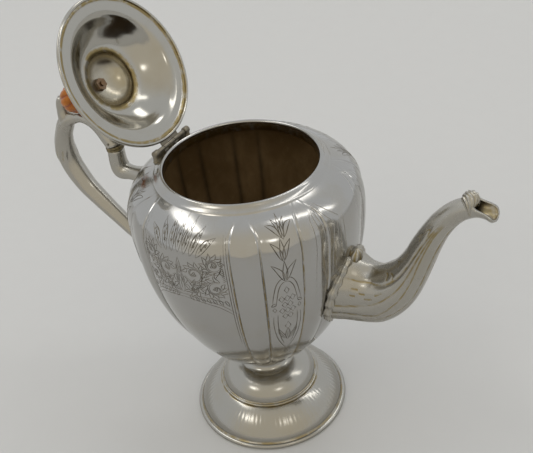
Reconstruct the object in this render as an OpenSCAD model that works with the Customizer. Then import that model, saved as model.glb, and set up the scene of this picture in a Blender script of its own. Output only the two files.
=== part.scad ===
// Silver-plated coffee pot of Victorian pattern: a lobed body on a spreading foot,
// a cast spout, a hollow handle held by insulators, and a hinged lid with a fruit finial.
// Millimetres, +Z up, +X towards the spout. The origin is the middle of the foot, on the table.
// The lid is drawn open, as it stands when it leans back against the handle.

/* [Foot] */
// Diameter of the foot over its edge wire
foot_d = 100; // [94:1:106]
// Thickness of the wire round the foot's edge
foot_wire_d = 3.4; // [3:0.1:3.8]
// Width of the flat ground under the edge wire
foot_flat_w = 1.8; // [1.2:0.1:2.2]
// Height of the step between the flange and the dome of the foot
foot_step_z = 20; // [17:0.5:23]
// Diameter of the flange's top, at the step
foot_step_d = 64.4; // [62:0.2:70]
// Diameter of the dome of the foot at its base
foot_dome_d = 60.8; // [56:0.2:61]
// Height of the upright skirt at the base of the dome
foot_skirt_h = 2; // [1:0.5:3]
// Height of the dome of the foot above its skirt
foot_dome_h = 13; // [11:0.5:15]
// Diameter at which the dome of the foot meets the collar
foot_neck_d = 32; // [30:0.5:36]
// Thickness of the wire on the step of the foot
foot_step_wire_d = 1.8; // [1.4:0.1:2.2]
// Thickness of the foot's sheet
foot_wall = 1; // [0.8:0.1:1.4]

/* [Collar] */
// Height of the collar between the foot and the body
collar_h = 11; // [9:0.5:14]
// Diameter of the collar's waist
collar_waist_d = 27.2; // [24:0.2:30]
// Bore up the middle of the collar
collar_bore_d = 20; // [16:0.5:21]

/* [Body] */
// Diameter of the body where it stands on the collar
body_base_d = 31; // [28:0.5:34]
// Height of the widest level above the collar
belly_h = 110.3; // [100:0.1:120]
// Diameter of the body at its widest level, on the crown of a lobe
belly_d = 136.4; // [128:0.1:144]
// Height from the widest level to the mouth
shoulder_h = 27.7; // [24:0.1:32]
// Diameter at which the shoulder turns up into the mouth
mouth_d = 92; // [86:0.5:96]
// Thickness of the body's sheet
body_wall = 1.1; // [0.8:0.1:1.5]
// Depth of the creases between the lobes, as a share of the radius
lobe_depth = 0.03; // [0.01:0.005:0.05]
// Width of the plain panel behind the spout and behind the handle
front_panel_deg = 36; // [30:1:40]
// Width of the narrow flutes
narrow_flute_deg = 14; // [12:0.5:16]
// Width of the flute between two narrow ones
middle_flute_deg = 19.5; // [17:0.5:22]

/* [Mouth rim] */
// Thickness of the bead round the mouth
rim_bead_d = 3.4; // [3:0.1:4]
// Diameter of the middle of the bead
rim_d = 91; // [90:0.1:91.6]
// Height of the middle of the bead above the body's top edge
rim_lift = 1.5; // [1:0.1:1.6]
// Depth of the rim's skirt inside the mouth
rim_skirt_h = 4; // [3:0.5:6]
// Thickness of the rim's skirt
rim_skirt_wall = 0.9; // [0.6:0.1:1.2]

/* [Spout] */
// Height of the spout's root above the foot of the body
spout_root_h = 71.7; // [66:0.1:78]
// Thickness of the spout's wall
spout_wall = 1.1; // [0.8:0.1:1.5]
// Width of the spout's root as a share of its height
spout_root_ratio = 0.78; // [0.7:0.02:0.9]
// Diameter of each hole in the strainer behind the spout
strainer_hole_d = 2.6; // [2:0.1:3]
// Distance between the rings of holes in the strainer
strainer_pitch = 5; // [4.5:0.1:5.4]
// Rings of holes round the middle hole of the strainer
strainer_rings = 2; // [1:1:2]

/* [Handle] */
// Height of the upper socket above the widest level of the body
upper_socket_h = 3.7; // [1:0.1:6]
// Height of the lower socket below the widest level of the body
lower_socket_drop = 59.8; // [56:0.1:64]
// Diameter of the insulators' reeded rings
insulator_d = 11.4; // [10.8:0.1:12.4]
// Length of an insulator between the handle and its socket
insulator_len = 3; // [2.4:0.1:4]
// Diameter of the insulators' tenons
tenon_d = 6; // [5:0.1:6.6]
// Length of each tenon
tenon_len = 5; // [4:0.1:5.5]
// Diameter of the pins through the tenons
tenon_pin_d = 1.6; // [1.2:0.1:2]
// Backward lean of the upper insulator
upper_lean_deg = 10; // [5:1:15]
// Rise of the lower insulator's axis towards the handle
lower_rise_deg = 38; // [32:1:44]

/* [Hinge] */
// Diameter of the hinge's knuckles
knuckle_d = 2.8; // [2.4:0.1:3]
// Length of one knuckle
knuckle_len = 5; // [4:0.1:5.5]
// Diameter of the hinge pin
hinge_pin_d = 1.5; // [1.2:0.1:1.6]
// Length of the lug at each end of the hinge
lug_len = 4.5; // [3:0.5:6]
// Diameter of the lugs
lug_d = 4.2; // [3.6:0.2:4.8]
// Thickness of the leaf that joins the lid to the hinge
hinge_leaf_t = 1.2; // [0.8:0.1:1.3]
// How far the lid stands open
lid_open_deg = 118.8; // [110:0.2:119.4]

/* [Lid] */
// Diameter of the middle of the wire round the lid
lid_wire_ring_d = 87.8; // [87:0.1:88.4]
// Thickness of the wire round the lid
lid_wire_d = 2; // [1.8:0.1:2.2]
// Thickness of the lid's sheet
lid_wall = 0.8; // [0.7:0.1:1]
// Diameter at which the lid's flat border turns up
lid_border_d = 66; // [62:0.5:70]
// Diameter of the lower dome's top
lid_step_d = 37.4; // [35:0.2:40]
// Height of the lower dome's underside above the wire
lid_step_h = 15; // [13:0.5:17]
// Diameter of the upper dome's inside
lid_dome_d = 33.4; // [31:0.2:34]
// Height of the upper dome's inside above the lower one
lid_dome_h = 10.2; // [9:0.2:12]
// Thickness of the wire on the lid's step
lid_step_wire_d = 1.8; // [1.4:0.1:2.2]

/* [Finial] */
// Diameter of the threaded stud
stud_d = 3; // [2.5:0.1:3.4]
// Width of the nut inside the lid, over its corners
nut_d = 7.4; // [6.6:0.2:8]
// Height of the nut
nut_h = 2; // [1.6:0.1:2.6]
// Diameter of the washer under the finial
washer_d = 9; // [8.4:0.2:10]
// Thickness of the washer
washer_t = 0.8; // [0.6:0.1:1.2]
// Height of the finial's stem and cup
cup_h = 18.5; // [16:0.5:19]
// Diameter of the cup's lip
cup_d = 14; // [12:0.5:15]
// Diameter of the fruit
fruit_d = 18.6; // [17:0.1:19]
// Lobes round the fruit
fruit_lobes = 9; // [7:1:11]
// Depth of the furrows between the fruit's lobes
fruit_furrow = 0.8; // [0.4:0.1:1]

/* [Hidden] */
$fn = 96;

silver = [0.72, 0.70, 0.66];
silver_dark = [0.55, 0.53, 0.48];
amber = [0.78, 0.36, 0.08];
bone = [0.45, 0.38, 0.25];

seat_gap = 0.05;     // between curved pieces that are soldered or screwed together
pin_gap = 0.05;      // round a pin or stud in its hole, on the radius
knuckle_gap = 0.15;  // between the knuckles of the hinge
tiny = 0.01;

// Foot and collar
foot_r = foot_d / 2;
foot_wire_r = foot_wire_d / 2;
foot_wire_z = sqrt(foot_wire_r * foot_wire_r - foot_flat_w * foot_flat_w / 4);
foot_wire_ring_r = foot_r - foot_wire_r;
flange_edge_r = foot_wire_ring_r - foot_wire_r * 0.8;
flange_edge_z = foot_wire_z + foot_wire_r * 1.6;
flange_steps = 12;
foot_dome_r = foot_dome_d / 2;
foot_shelf_r = foot_dome_r - foot_wall - 0.8;
foot_step_wire_r = foot_step_wire_d / 2;
foot_dome_steps = 10;
foot_top_z = foot_step_z + foot_skirt_h + foot_dome_h;
body_base_z = foot_top_z + collar_h;

// Body
base_r = body_base_d / 2;
belly_r = belly_d / 2;
belly_z = body_base_z + belly_h;
mouth_r = mouth_d / 2;
body_top_z = belly_z + shoulder_h;
low_power = 1.434;           // fullness of the bowl below the widest level
shoulder_power = 1.762;      // roundness of the shoulder
shoulder_rise_power = 0.51;
low_step_deg = 7.5;
shoulder_step_deg = 9;
side_panel_deg = 180 - front_panel_deg - 4 * narrow_flute_deg - 2 * middle_flute_deg;
// Widths of the lobes from the middle of the front panel round to the middle of the back one
half_lobes = [
    [front_panel_deg, 6], [narrow_flute_deg, 2], [middle_flute_deg, 3], [narrow_flute_deg, 2],
    [side_panel_deg, 8],
    [narrow_flute_deg, 2], [middle_flute_deg, 3], [narrow_flute_deg, 2]
];
lobes = concat(half_lobes, half_lobes);
// Share of the full crease depth at heights above the body's foot
crease_rise = [[0, 0.6], [24, 1], [104, 1], [126, 0.3], [132, 0]];
crease_shares = [for (c = crease_rise) [body_base_z + c[0] * (belly_h + shoulder_h) / 138, c[1]]];

// Mouth rim
rim_bead_r = rim_bead_d / 2;
rim_r = rim_d / 2;
rim_z = body_top_z + rim_lift;
rim_skirt_r = rim_r - rim_bead_r + rim_skirt_wall + 0.1;
mouth_bore_r = rim_skirt_r + 0.1;

// Hinge
knuckle_r = knuckle_d / 2;
hinge_x = -(rim_r + 0.7 + knuckle_r);
hinge_z = rim_z + 1 + knuckle_r;
hinge_bore_r = hinge_pin_d / 2 + pin_gap;
hinge_half = 2.5 * knuckle_len;

// Lid, in its closed place. Heights in the lid are above the plane through its wire.
lid_wire_r = lid_wire_d / 2;
lid_ring_r = lid_wire_ring_d / 2;
lid_seat_gap = 0.05;
lid_z = rim_z + sqrt(pow(rim_bead_r + lid_wire_r + lid_seat_gap, 2) - pow(rim_r - lid_ring_r, 2));
lid_border_r = lid_border_d / 2;
lid_edge_r = lid_ring_r - lid_wire_r * 0.6;
lid_border_rise = 1.75;
lid_step_r = lid_step_d / 2;
lid_step_wire_r = lid_step_wire_d / 2;
lid_dome_r = lid_dome_d / 2;
lid_crown_h = lid_step_h + lid_wall + lid_dome_h;
lid_crown_r = nut_d / 2 + 0.6;
lid_dome_steps = 9;

// Finial, on the lid's axis
stud_r = stud_d / 2;
cup_base_h = lid_crown_h + lid_wall + washer_t;
fruit_r = fruit_d / 2;
cup_r = cup_d / 2;
fruit_seat_r = fruit_r + 0.1;
cup_lip_h = cup_base_h + cup_h;
fruit_h = cup_lip_h + sqrt(fruit_seat_r * fruit_seat_r - cup_r * cup_r);
fruit_tip = 0.4;

// Spout: distance outside the belly, height above the root, radius across the run
spout_root_z = body_base_z + spout_root_h;
spout_run = [for (p = [
    [-14, -2, 24], [-3.7, -1.4, 22], [2.5, -4.5, 17.4], [8.9, -6.2, 14.4], [14.2, -3.8, 13.8],
    [19.9, 1, 14.2], [25, 6.4, 13.7], [29.5, 12.5, 12.4], [33.6, 19.6, 10.8], [37.1, 27.1, 9.6],
    [41.4, 38.2, 8.7], [46.1, 48.6, 7.7], [51.3, 58.1, 7], [57.6, 65.9, 6.3],
    [64.7, 70.6, 5.5], [70.5, 71.6, 5.1], [77.6, 70.2, 4.6]
]) [belly_r + p[0], spout_root_z + p[1], p[2]]];
spout_end_dir = [0.93, -0.37];
spout_sides = 20;
// Stations each way that a section's tilt is averaged over, so that no two sections cross
spout_reach = 5;
// The root's oval section is round from this ring on
spout_round_ring = 8;
spout_cut_at = [belly_r + 66.2, spout_root_z + 71.2];
spout_scroll_at = [belly_r + 63.8, spout_root_z + 75.4];
spout_scroll_r = 4;

// Handle: distance outside the belly, height above the widest level, radius
upper_dir = [-sin(upper_lean_deg), cos(upper_lean_deg)];
upper_seat = [-(belly_r + 24.5), belly_z + 17.2];
upper_grip_seat = upper_seat + insulator_len * upper_dir;
lower_dir = [-cos(lower_rise_deg), sin(lower_rise_deg)];
lower_seat = [-(belly_r + 17.4), belly_z - 49.3];
lower_grip_seat = lower_seat + insulator_len * lower_dir;
upper_socket_run = concat(
    [for (p = [[-6, 0.3, 8], [0, 0, 7.2], [7.8, -1.2, 5.2], [16, -1.4, 5], [22.4, -0.1, 5.7], [24.6, 5, 5.4]])
        [-(belly_r + p[0]), belly_z + upper_socket_h + p[1], p[2]]],
    [[upper_seat[0], upper_seat[1], 5.2]]
);
lower_socket_run = concat(
    [for (p = [[-16, 0, 8.4], [-9.5, 0.4, 7.6], [-2, 1.6, 6.5], [7.8, 4.8, 5.5]])
        [-(belly_r + p[0]), belly_z - lower_socket_drop + p[1], p[2]]],
    [[lower_seat[0], lower_seat[1], 5.2]]
);
grip_run = concat(
    [[upper_grip_seat[0], upper_grip_seat[1], 5.2]],
    [for (p = [
        [28.6, 24.2, 4.7], [33.6, 29.6, 4], [39.1, 33.1, 3.4], [46.4, 34.8, 3.1], [52.3, 33.6, 3.3],
        [58.4, 31.6, 5], [62.6, 27.2, 5.9], [66, 20.7, 6.2], [68.5, 11.3, 7.2], [67.6, 2, 7.4],
        [63.6, -7.6, 7.4], [57.3, -16.9, 6.9], [49.8, -24.1, 6.4], [41.7, -31.2, 5.9], [33.4, -38, 5.5],
        [25.5, -44.4, 5.2]
    ]) [-(belly_r + p[0]), belly_z + p[1], p[2]]],
    [[lower_grip_seat[0], lower_grip_seat[1], 5.2]]
);
thumb_run = [for (p = [[60.3, 30, 5], [61.3, 34.5, 4.4], [61.8, 38.7, 3.6], [61.4, 43.2, 2.8], [59.8, 46.3, 1.8]])
    [-(belly_r + p[0]), belly_z + p[1], p[2]]];
handle_sides = 16;

// ---------------------------------------------------------------- shared shapes

// Faces of a grid of closed rings, with both ends capped
function ring_faces(rings, sides) = [
    for (i = [0 : rings - 2])
        for (j = [0 : sides - 1])
            let (a = i * sides + j, b = i * sides + (j + 1) % sides)
                each [[a, a + sides, b + sides], [a, b + sides, b]]
];
function cap_faces(rings, sides) = [
    [for (j = [0 : sides - 1]) j],
    [for (j = [sides - 1 : -1 : 0]) (rings - 1) * sides + j]
];
module ring_solid(points, rings, sides) {
    polyhedron(points, concat(ring_faces(rings, sides), cap_faces(rings, sides)));
}

// A smooth run through stations [x, z, radius], with extra ones between them
function between(p, i, t) =
    let (a = p[max(i - 1, 0)], b = p[i], c = p[i + 1], d = p[min(i + 2, len(p) - 1)])
        0.5 * (2 * b + (c - a) * t + (2 * a - 5 * b + 4 * c - d) * t * t + (3 * b - a - 3 * c + d) * t * t * t);
function smooth_run(p, parts) = concat(
    [for (i = [0 : len(p) - 2]) for (k = [0 : parts - 1]) between(p, i, k / parts)],
    [p[len(p) - 1]]
);
function unit2(v) = v / norm(v);
// Direction of a run at station i, taken over a reach of stations each way
function run_dir(run, i, end_dir, reach = 1) =
    (i == len(run) - 1 && norm(end_dir) > 0) ? end_dir :
    let (
        k = max(1, min(reach, i, len(run) - 1 - i)),
        a = run[max(i - k, 0)],
        b = run[min(i + k, len(run) - 1)]
    )
        unit2([b[0] - a[0], b[1] - a[1]]);

// Ring of points round a station of a run in the XZ plane; grow changes its radius
function run_ring(s, dir, sides, ratio, grow) = [
    for (j = [0 : sides - 1])
        let (a = 360 * j / sides, r = s[2] + grow)
            [s[0] + r * cos(a) * dir[1], ratio * r * sin(a), s[1] - r * cos(a) * dir[0]]
];

// Round bar that follows a run; start_dir and end_dir square its ends to its neighbours
module round_bar(run, sides, start_dir, end_dir) {
    points = [
        for (i = [0 : len(run) - 1])
            let (dir = (i == 0 && norm(start_dir) > 0) ? start_dir : run_dir(run, i, end_dir))
                each run_ring(run[i], dir, sides, 1, 0)
    ];
    ring_solid(points, len(run), sides);
}

// Sheet profile: a line of points and the same line moved by a step, as one outline
function sheet(points, step) = concat(points, [for (i = [len(points) - 1 : -1 : 0]) points[i] + step]);

// Cylinder along Y, centred at y, in the plane position [x, z]
module along_y(r, length, at, y = 0) {
    translate([at[0], y + length / 2, at[1]]) rotate([90, 0, 0]) cylinder(r = r, h = length, $fn = 48);
}

// Ring of round wire about the Z axis
module wire_ring(ring_r, r, z) {
    rotate_extrude() translate([ring_r, z]) circle(r = r, $fn = 48);
}

// ---------------------------------------------------------------- foot

module foot_wire() {
    color(silver) rotate_extrude()
        difference() {
            translate([foot_wire_ring_r, foot_wire_z]) circle(r = foot_wire_r);
            translate([foot_wire_ring_r - foot_wire_d, -foot_wire_d]) square([2 * foot_wire_d, foot_wire_d]);
        }
}

function flange_point(s) = [
    foot_step_d / 2 + (flange_edge_r - foot_step_d / 2) * pow(1 - pow(s, 1.5), 0.83),
    flange_edge_z + (foot_step_z - flange_edge_z) * s
];

module foot_flange() {
    curve = [for (i = [0 : flange_steps]) flange_point(1 - pow(1 - i / flange_steps, 2))];
    edge = [[flange_edge_r, foot_wire_z + foot_wire_r * 0.4]];
    color(silver) rotate_extrude()
        difference() {
            polygon(sheet(concat(edge, curve, [[foot_shelf_r, foot_step_z]]), [-0.8, -0.8] * foot_wall));
            translate([foot_wire_ring_r, foot_wire_z]) circle(r = foot_wire_r + seat_gap);
        }
}

module foot_step_wire() {
    color(silver) rotate_extrude()
        translate([foot_dome_r + foot_step_wire_r + seat_gap, foot_step_z + foot_step_wire_r])
            circle(r = foot_step_wire_r);
}

function foot_dome_point(s) = [
    foot_neck_d / 2 + (foot_dome_r - foot_neck_d / 2) * pow(1 - s * s, 0.625),
    foot_step_z + foot_skirt_h + foot_dome_h * s
];

module foot_dome() {
    outer = concat(
        [[foot_dome_r, foot_step_z]],
        [for (i = [0 : foot_dome_steps]) foot_dome_point(sin(90 * i / foot_dome_steps))],
        [[collar_bore_d / 2 + 1, foot_top_z]]
    );
    inner = [for (i = [len(outer) - 1 : -1 : 0])
        [outer[i][0] - foot_wall, max(outer[i][1] - foot_wall * 0.8, foot_step_z)]];
    color(silver) rotate_extrude() polygon(concat(outer, inner));
}

// Half thickness of the collar at a share of its height
function collar_r(t) =
    collar_waist_d / 2 + (lookup(t, [[0, foot_neck_d / 2 - 0.6], [0.5, base_r]]) - collar_waist_d / 2)
        * pow(abs(2 * t - 1), 2.2);

module foot_collar() {
    color(silver) rotate_extrude()
        polygon(concat(
            [for (i = [0 : 10]) [collar_r(i / 10), foot_top_z + collar_h * i / 10]],
            [[collar_bore_d / 2, body_base_z], [collar_bore_d / 2, foot_top_z]]
        ));
}

// ---------------------------------------------------------------- body

function low_point(a) = [
    base_r + (belly_r - base_r) * pow(sin(a), low_power),
    body_base_z + belly_h * (1 - cos(a))
];
function shoulder_point(a) = [
    mouth_r + (belly_r - mouth_r) * pow(cos(a), shoulder_power),
    belly_z + shoulder_h * pow(sin(a), shoulder_rise_power)
];
body_profile = concat(
    [for (a = [0 : low_step_deg : 90]) low_point(a)],
    [for (a = [shoulder_step_deg : shoulder_step_deg : 90]) shoulder_point(a)]
);

// Azimuth and place across its lobe (-1 to 1) of each column of points
lobe_starts = [for (i = 0, a = -front_panel_deg / 2; i < len(lobes); a = a + lobes[i][0], i = i + 1) a];
columns = [
    for (i = [0 : len(lobes) - 1])
        for (k = [0 : lobes[i][1] - 1])
            let (t = k / lobes[i][1]) [lobe_starts[i] + lobes[i][0] * t, 2 * t - 1]
];
function lobed(r, z, t) = r * (1 - lobe_depth * lookup(z, crease_shares) * t * t);
function body_point(p, column, grow) =
    let (r = lobed(p[0] + grow, p[1], column[1])) [r * cos(column[0]), r * sin(column[0]), p[1]];

// The sheet's inside, square to the profile
function inside_point(i) =
    let (a = body_profile[i - 1], b = body_profile[i + 1], d = unit2(b - a))
        body_profile[i] + body_wall * [-d[1], d[0]];

module vessel() {
    last = len(body_profile) - 1;
    inner = [for (i = [last - 1 : -1 : 1]) inside_point(i)];
    profile = concat(
        body_profile,
        [[mouth_bore_r, body_top_z], [mouth_bore_r, body_top_z - body_wall * 1.1]],
        inner
    );
    points = [for (p = profile) for (c = columns) body_point(p, c, 0)];
    color(silver) difference() {
        ring_solid(points, len(profile), len(columns));
        strainer_holes();
    }
}

module strainer_holes() {
    for (ring = [0 : strainer_rings])
        for (k = [0 : max(6 * ring, 1) - 1])
            let (a = 60 * k / max(ring, 1) + 30, r = strainer_pitch * ring)
                translate([belly_r / 2, r * sin(a), spout_root_z - 4 + r * cos(a)])
                    rotate([0, 90, 0]) cylinder(d = strainer_hole_d, h = belly_r, $fn = 24);
}

// The body's surface beside the spout (side = 0) or the handle (side = 180), made solid
module body_seat(side) {
    across = front_panel_deg / 2 + narrow_flute_deg;
    near = [for (c = columns) if (c[0] <= across + tiny) c];
    far = [for (c = columns) if (c[0] >= 360 - across - tiny - front_panel_deg) [c[0] - 360, c[1]]];
    patch = [for (c = concat(far, near)) if (c[0] >= -across - tiny) c];
    rings = [for (p = body_profile) if (p[1] > body_base_z + 25 && p[1] < body_top_z - 4) p];
    points = [
        for (p = rings)
            each concat([for (c = patch) body_point(p, c, seat_gap)], [[tiny, 0, p[1]]])
    ];
    sides = len(patch) + 1;
    rotate([0, 0, side]) ring_solid(points, len(rings), sides);
}

module mouth_rim() {
    color(silver) rotate_extrude()
        union() {
            difference() {
                translate([rim_r, rim_z]) circle(r = rim_bead_r);
                translate([0, body_top_z - rim_bead_d]) square([rim_r + rim_bead_d, rim_bead_d]);
            }
            translate([rim_skirt_r - rim_skirt_wall, body_top_z - rim_skirt_h])
                square([rim_skirt_wall, rim_skirt_h + rim_lift]);
        }
}

// ---------------------------------------------------------------- spout

// The spout's round run, widened at its root; grow changes its radius
module spout_bar(grow) {
    run = smooth_run(spout_run, 2);
    points = [
        for (i = [0 : len(run) - 1])
            let (ratio = min(1, spout_root_ratio + (1 - spout_root_ratio) * i / spout_round_ring))
                each run_ring(run[i], run_dir(run, i, spout_end_dir, spout_reach), spout_sides, ratio, grow)
    ];
    ring_solid(points, len(run), spout_sides);
}

module spout() {
    color(silver) difference() {
        union() {
            difference() {
                spout_bar(0);
                // The open trough of the lip
                translate([0, belly_r, 0]) rotate([90, 0, 0]) linear_extrude(height = belly_d)
                    translate(spout_cut_at)
                        polygon([[0, 20], [0, 2], [2, 0], [30, -1], [30, 20]]);
            }
            translate([spout_scroll_at[0], 0, spout_scroll_at[1]]) sphere(r = spout_scroll_r, $fn = 32);
        }
        spout_bar(-spout_wall);
        body_seat(0);
    }
}

// ---------------------------------------------------------------- handle

// Points a tenon or a cross pin sits at, measured along the insulator's axis from its seat
function along(seat, dir, length) = seat + length * dir;

module tenon_bore(seat, dir) {
    translate([seat[0], 0, seat[1]]) rotate([0, atan2(dir[0], dir[1]), 0])
        translate([0, 0, -tiny]) cylinder(d = tenon_d + 2 * pin_gap, h = tenon_len + 0.2 + tiny);
    along_y(tenon_pin_d / 2 + pin_gap, 4 * tenon_d, along(seat, dir, tenon_len / 2));
}

module handle_upper_socket() {
    color(silver) difference() {
        round_bar(smooth_run(upper_socket_run, 2), handle_sides, [0, 0], upper_dir);
        body_seat(180);
        tenon_bore(upper_seat, -upper_dir);
    }
}

module handle_lower_socket() {
    color(silver) difference() {
        round_bar(smooth_run(lower_socket_run, 2), handle_sides, [0, 0], lower_dir);
        body_seat(180);
        tenon_bore(lower_seat, -lower_dir);
    }
}

module handle_grip() {
    color(silver) difference() {
        union() {
            round_bar(smooth_run(grip_run, 2), handle_sides, upper_dir, -lower_dir);
            round_bar(smooth_run(thumb_run, 2), handle_sides, [0, 0], [0, 0]);
        }
        tenon_bore(upper_grip_seat, upper_dir);
        tenon_bore(lower_grip_seat, lower_dir);
    }
}

// Reeded ring with a tenon at each end
module insulator(seat, dir) {
    r = insulator_d / 2;
    neck_r = tenon_d / 2 + 2.1;
    step = insulator_len / 3;
    difference() {
        translate([seat[0], 0, seat[1]]) rotate([0, atan2(dir[0], dir[1]), 0])
            union() {
                translate([0, 0, -tenon_len]) cylinder(d = tenon_d, h = insulator_len + 2 * tenon_len);
                rotate_extrude() polygon([
                    [0, 0], [neck_r, 0], [r - 0.3, 0.2], [r, step / 2], [r - 0.3, step - 0.1], [neck_r, step],
                    [neck_r, 2 * step], [r - 0.3, 2 * step + 0.1], [r, 2.5 * step], [r - 0.3, 3 * step - 0.2],
                    [neck_r, 3 * step], [0, 3 * step]
                ]);
            }
        for (length = [-tenon_len / 2, insulator_len + tenon_len / 2])
            along_y(tenon_pin_d / 2 + pin_gap, 4 * tenon_d, along(seat, dir, length));
    }
}

module upper_insulator() {
    color(bone) insulator(upper_seat, upper_dir);
}

module lower_insulator() {
    color(bone) insulator(lower_seat, lower_dir);
}

module insulator_pins() {
    color(silver_dark)
        for (joint = [[upper_seat, upper_dir], [lower_seat, lower_dir]])
            for (length = [-tenon_len / 2, insulator_len + tenon_len / 2])
                along_y(tenon_pin_d / 2, tenon_d + 4, along(joint[0], joint[1], length));
}

// ---------------------------------------------------------------- hinge

hinge_at = [hinge_x, hinge_z];
hinge_base_z = hinge_z - knuckle_r - 2 * knuckle_gap;
hinge_base_drop = 7;

// Everything the bracket is soldered on: the shoulder and the rim's bead
module hinge_seat() {
    shoulder = [for (p = body_profile) if (p[1] > belly_z) p + [seat_gap, seat_gap]];
    rotate_extrude() polygon(concat([[0, belly_z]], shoulder, [[0, body_top_z + seat_gap]]));
    wire_ring(rim_r, rim_bead_r + seat_gap, rim_z);
}

module hinge_bracket() {
    base_x = hinge_x - knuckle_r - 0.4;
    half = hinge_half + lug_len;
    web_w = knuckle_d * 0.8;
    color(silver_dark) difference() {
        union() {
            translate([base_x, -half, hinge_base_z - hinge_base_drop])
                cube([-(rim_r + 0.5) - base_x, 2 * half, hinge_base_drop]);
            for (k = [-2, 0, 2]) {
                y = k * knuckle_len;
                along_y(knuckle_r, knuckle_len - knuckle_gap, hinge_at, y);
                translate([hinge_x - web_w / 2, y - (knuckle_len - knuckle_gap) / 2, hinge_base_z - 1])
                    cube([web_w, knuckle_len - knuckle_gap, hinge_z - hinge_base_z + 1]);
            }
            for (side = [-1, 1]) {
                y = side * (hinge_half + lug_len / 2 - tiny);
                along_y(lug_d / 2, lug_len, hinge_at, y);
                translate([hinge_x - lug_d / 2, y - lug_len / 2, hinge_base_z - 1])
                    cube([lug_d, lug_len, hinge_z - hinge_base_z + 1]);
            }
        }
        hinge_seat();
        along_y(hinge_bore_r, 4 * half, hinge_at);
    }
}

module hinge_pin() {
    color(silver_dark) along_y(hinge_pin_d / 2, 2 * (hinge_half + lug_len) - 0.4, hinge_at);
}

// ---------------------------------------------------------------- lid

// Swings what is drawn in the lid's closed place back to where the lid stands open
module opened() {
    translate([hinge_x, 0, hinge_z]) rotate([0, -lid_open_deg, 0]) translate([-hinge_x, 0, -hinge_z])
        children();
}

module hinge_leaf() {
    leaf_z = rim_z + rim_bead_r + 0.15;
    leaf_end = lid_ring_r + 0.2;
    color(silver_dark) opened() difference() {
        union() {
            for (k = [-1, 1])
                along_y(knuckle_r, knuckle_len - knuckle_gap, hinge_at, k * knuckle_len);
            translate([hinge_x, -(1.5 * knuckle_len - knuckle_gap / 2), leaf_z])
                cube([-leaf_end - hinge_x, 3 * knuckle_len - knuckle_gap, hinge_leaf_t]);
        }
        // Room for the bracket's middle knuckle
        along_y(knuckle_r + 2 * knuckle_gap, knuckle_len + knuckle_gap, hinge_at);
        along_y(hinge_bore_r, 4 * knuckle_len, hinge_at);
        wire_ring(lid_ring_r, lid_wire_r + seat_gap, lid_z);
    }
}

module lid_wire() {
    color(silver) opened() wire_ring(lid_ring_r, lid_wire_r, lid_z);
}

// The lower dome's inside, from the border (s = 0) to the step (s = 1)
function lid_low_point(s) = [
    lid_border_r - (lid_border_r - lid_step_r) * s,
    lid_border_rise + (lid_step_h - lid_border_rise) * pow(s, 0.76)
];

module lid_shell() {
    inside = concat(
        [[lid_edge_r, 0], [lid_ring_r - 2.3 * lid_wire_r, 0]],
        [for (i = [0 : lid_dome_steps]) lid_low_point(pow(i / lid_dome_steps, 1.4))],
        [[lid_dome_r - lid_wall, lid_step_h]]
    );
    color(silver) opened() translate([0, 0, lid_z]) rotate_extrude()
        difference() {
            polygon(sheet(inside, [0.75, 1] * lid_wall));
            translate([lid_ring_r, 0]) circle(r = lid_wire_r + seat_gap, $fn = 48);
        }
}

module lid_step_wire() {
    color(silver) opened()
        wire_ring(
            lid_dome_r + lid_wall + lid_step_wire_r + seat_gap,
            lid_step_wire_r,
            lid_z + lid_step_h + lid_wall + lid_step_wire_r
        );
}

module lid_dome() {
    base_h = lid_step_h + lid_wall;
    crown_deg = acos(lid_crown_r / lid_dome_r);
    inside = [for (i = [0 : lid_dome_steps])
        let (a = crown_deg * i / lid_dome_steps)
            [lid_dome_r * cos(a), base_h + lid_dome_h * sin(a) / sin(crown_deg)]];
    outside = [for (i = [lid_dome_steps : -1 : 0])
        [inside[i][0] + lid_wall, i == 0 ? base_h : inside[i][1] + lid_wall]];
    bore = [[stud_r + pin_gap, lid_crown_h], [stud_r + pin_gap, lid_crown_h + lid_wall]];
    color(silver) opened() translate([0, 0, lid_z]) rotate_extrude() polygon(concat(inside, bore, outside));
}

// ---------------------------------------------------------------- finial

module finial_nut() {
    color(silver_dark) opened() translate([0, 0, lid_z + lid_crown_h - nut_h])
        difference() {
            cylinder(d = nut_d, h = nut_h, $fn = 6);
            translate([0, 0, -nut_h]) cylinder(r = stud_r + pin_gap, h = 3 * nut_h);
        }
}

module finial_stud() {
    low = lid_crown_h - nut_h - 1.2;
    color(silver_dark) opened() translate([0, 0, lid_z + low])
        cylinder(r = stud_r, h = fruit_h - 1.5 - low);
}

module finial_washer() {
    color(silver_dark) opened() translate([0, 0, lid_z + lid_crown_h + lid_wall])
        difference() {
            cylinder(d = washer_d, h = washer_t);
            translate([0, 0, -washer_t]) cylinder(r = stud_r + pin_gap, h = 3 * washer_t);
        }
}

module finial_cup() {
    // Turned stem, as shares of the cup's radius and height
    stem = [for (p = [
        [0.62, 0], [0.56, 0.06], [0.36, 0.15], [0.33, 0.3], [0.5, 0.38], [0.36, 0.47], [0.6, 0.62], [0.88, 0.82]
    ]) [p[0] * cup_r, cup_base_h + p[1] * cup_h]];
    lip_deg = asin(cup_r / fruit_seat_r);
    bore_deg = asin((stud_r + pin_gap) / fruit_seat_r);
    seat = [for (i = [0 : 6])
        let (a = lip_deg + (bore_deg - lip_deg) * i / 6)
            [fruit_seat_r * sin(a), fruit_h - fruit_seat_r * cos(a)]];
    color(silver) opened() translate([0, 0, lid_z]) rotate_extrude()
        polygon(concat(stem, seat, [[stud_r + pin_gap, cup_base_h]]));
}

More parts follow.
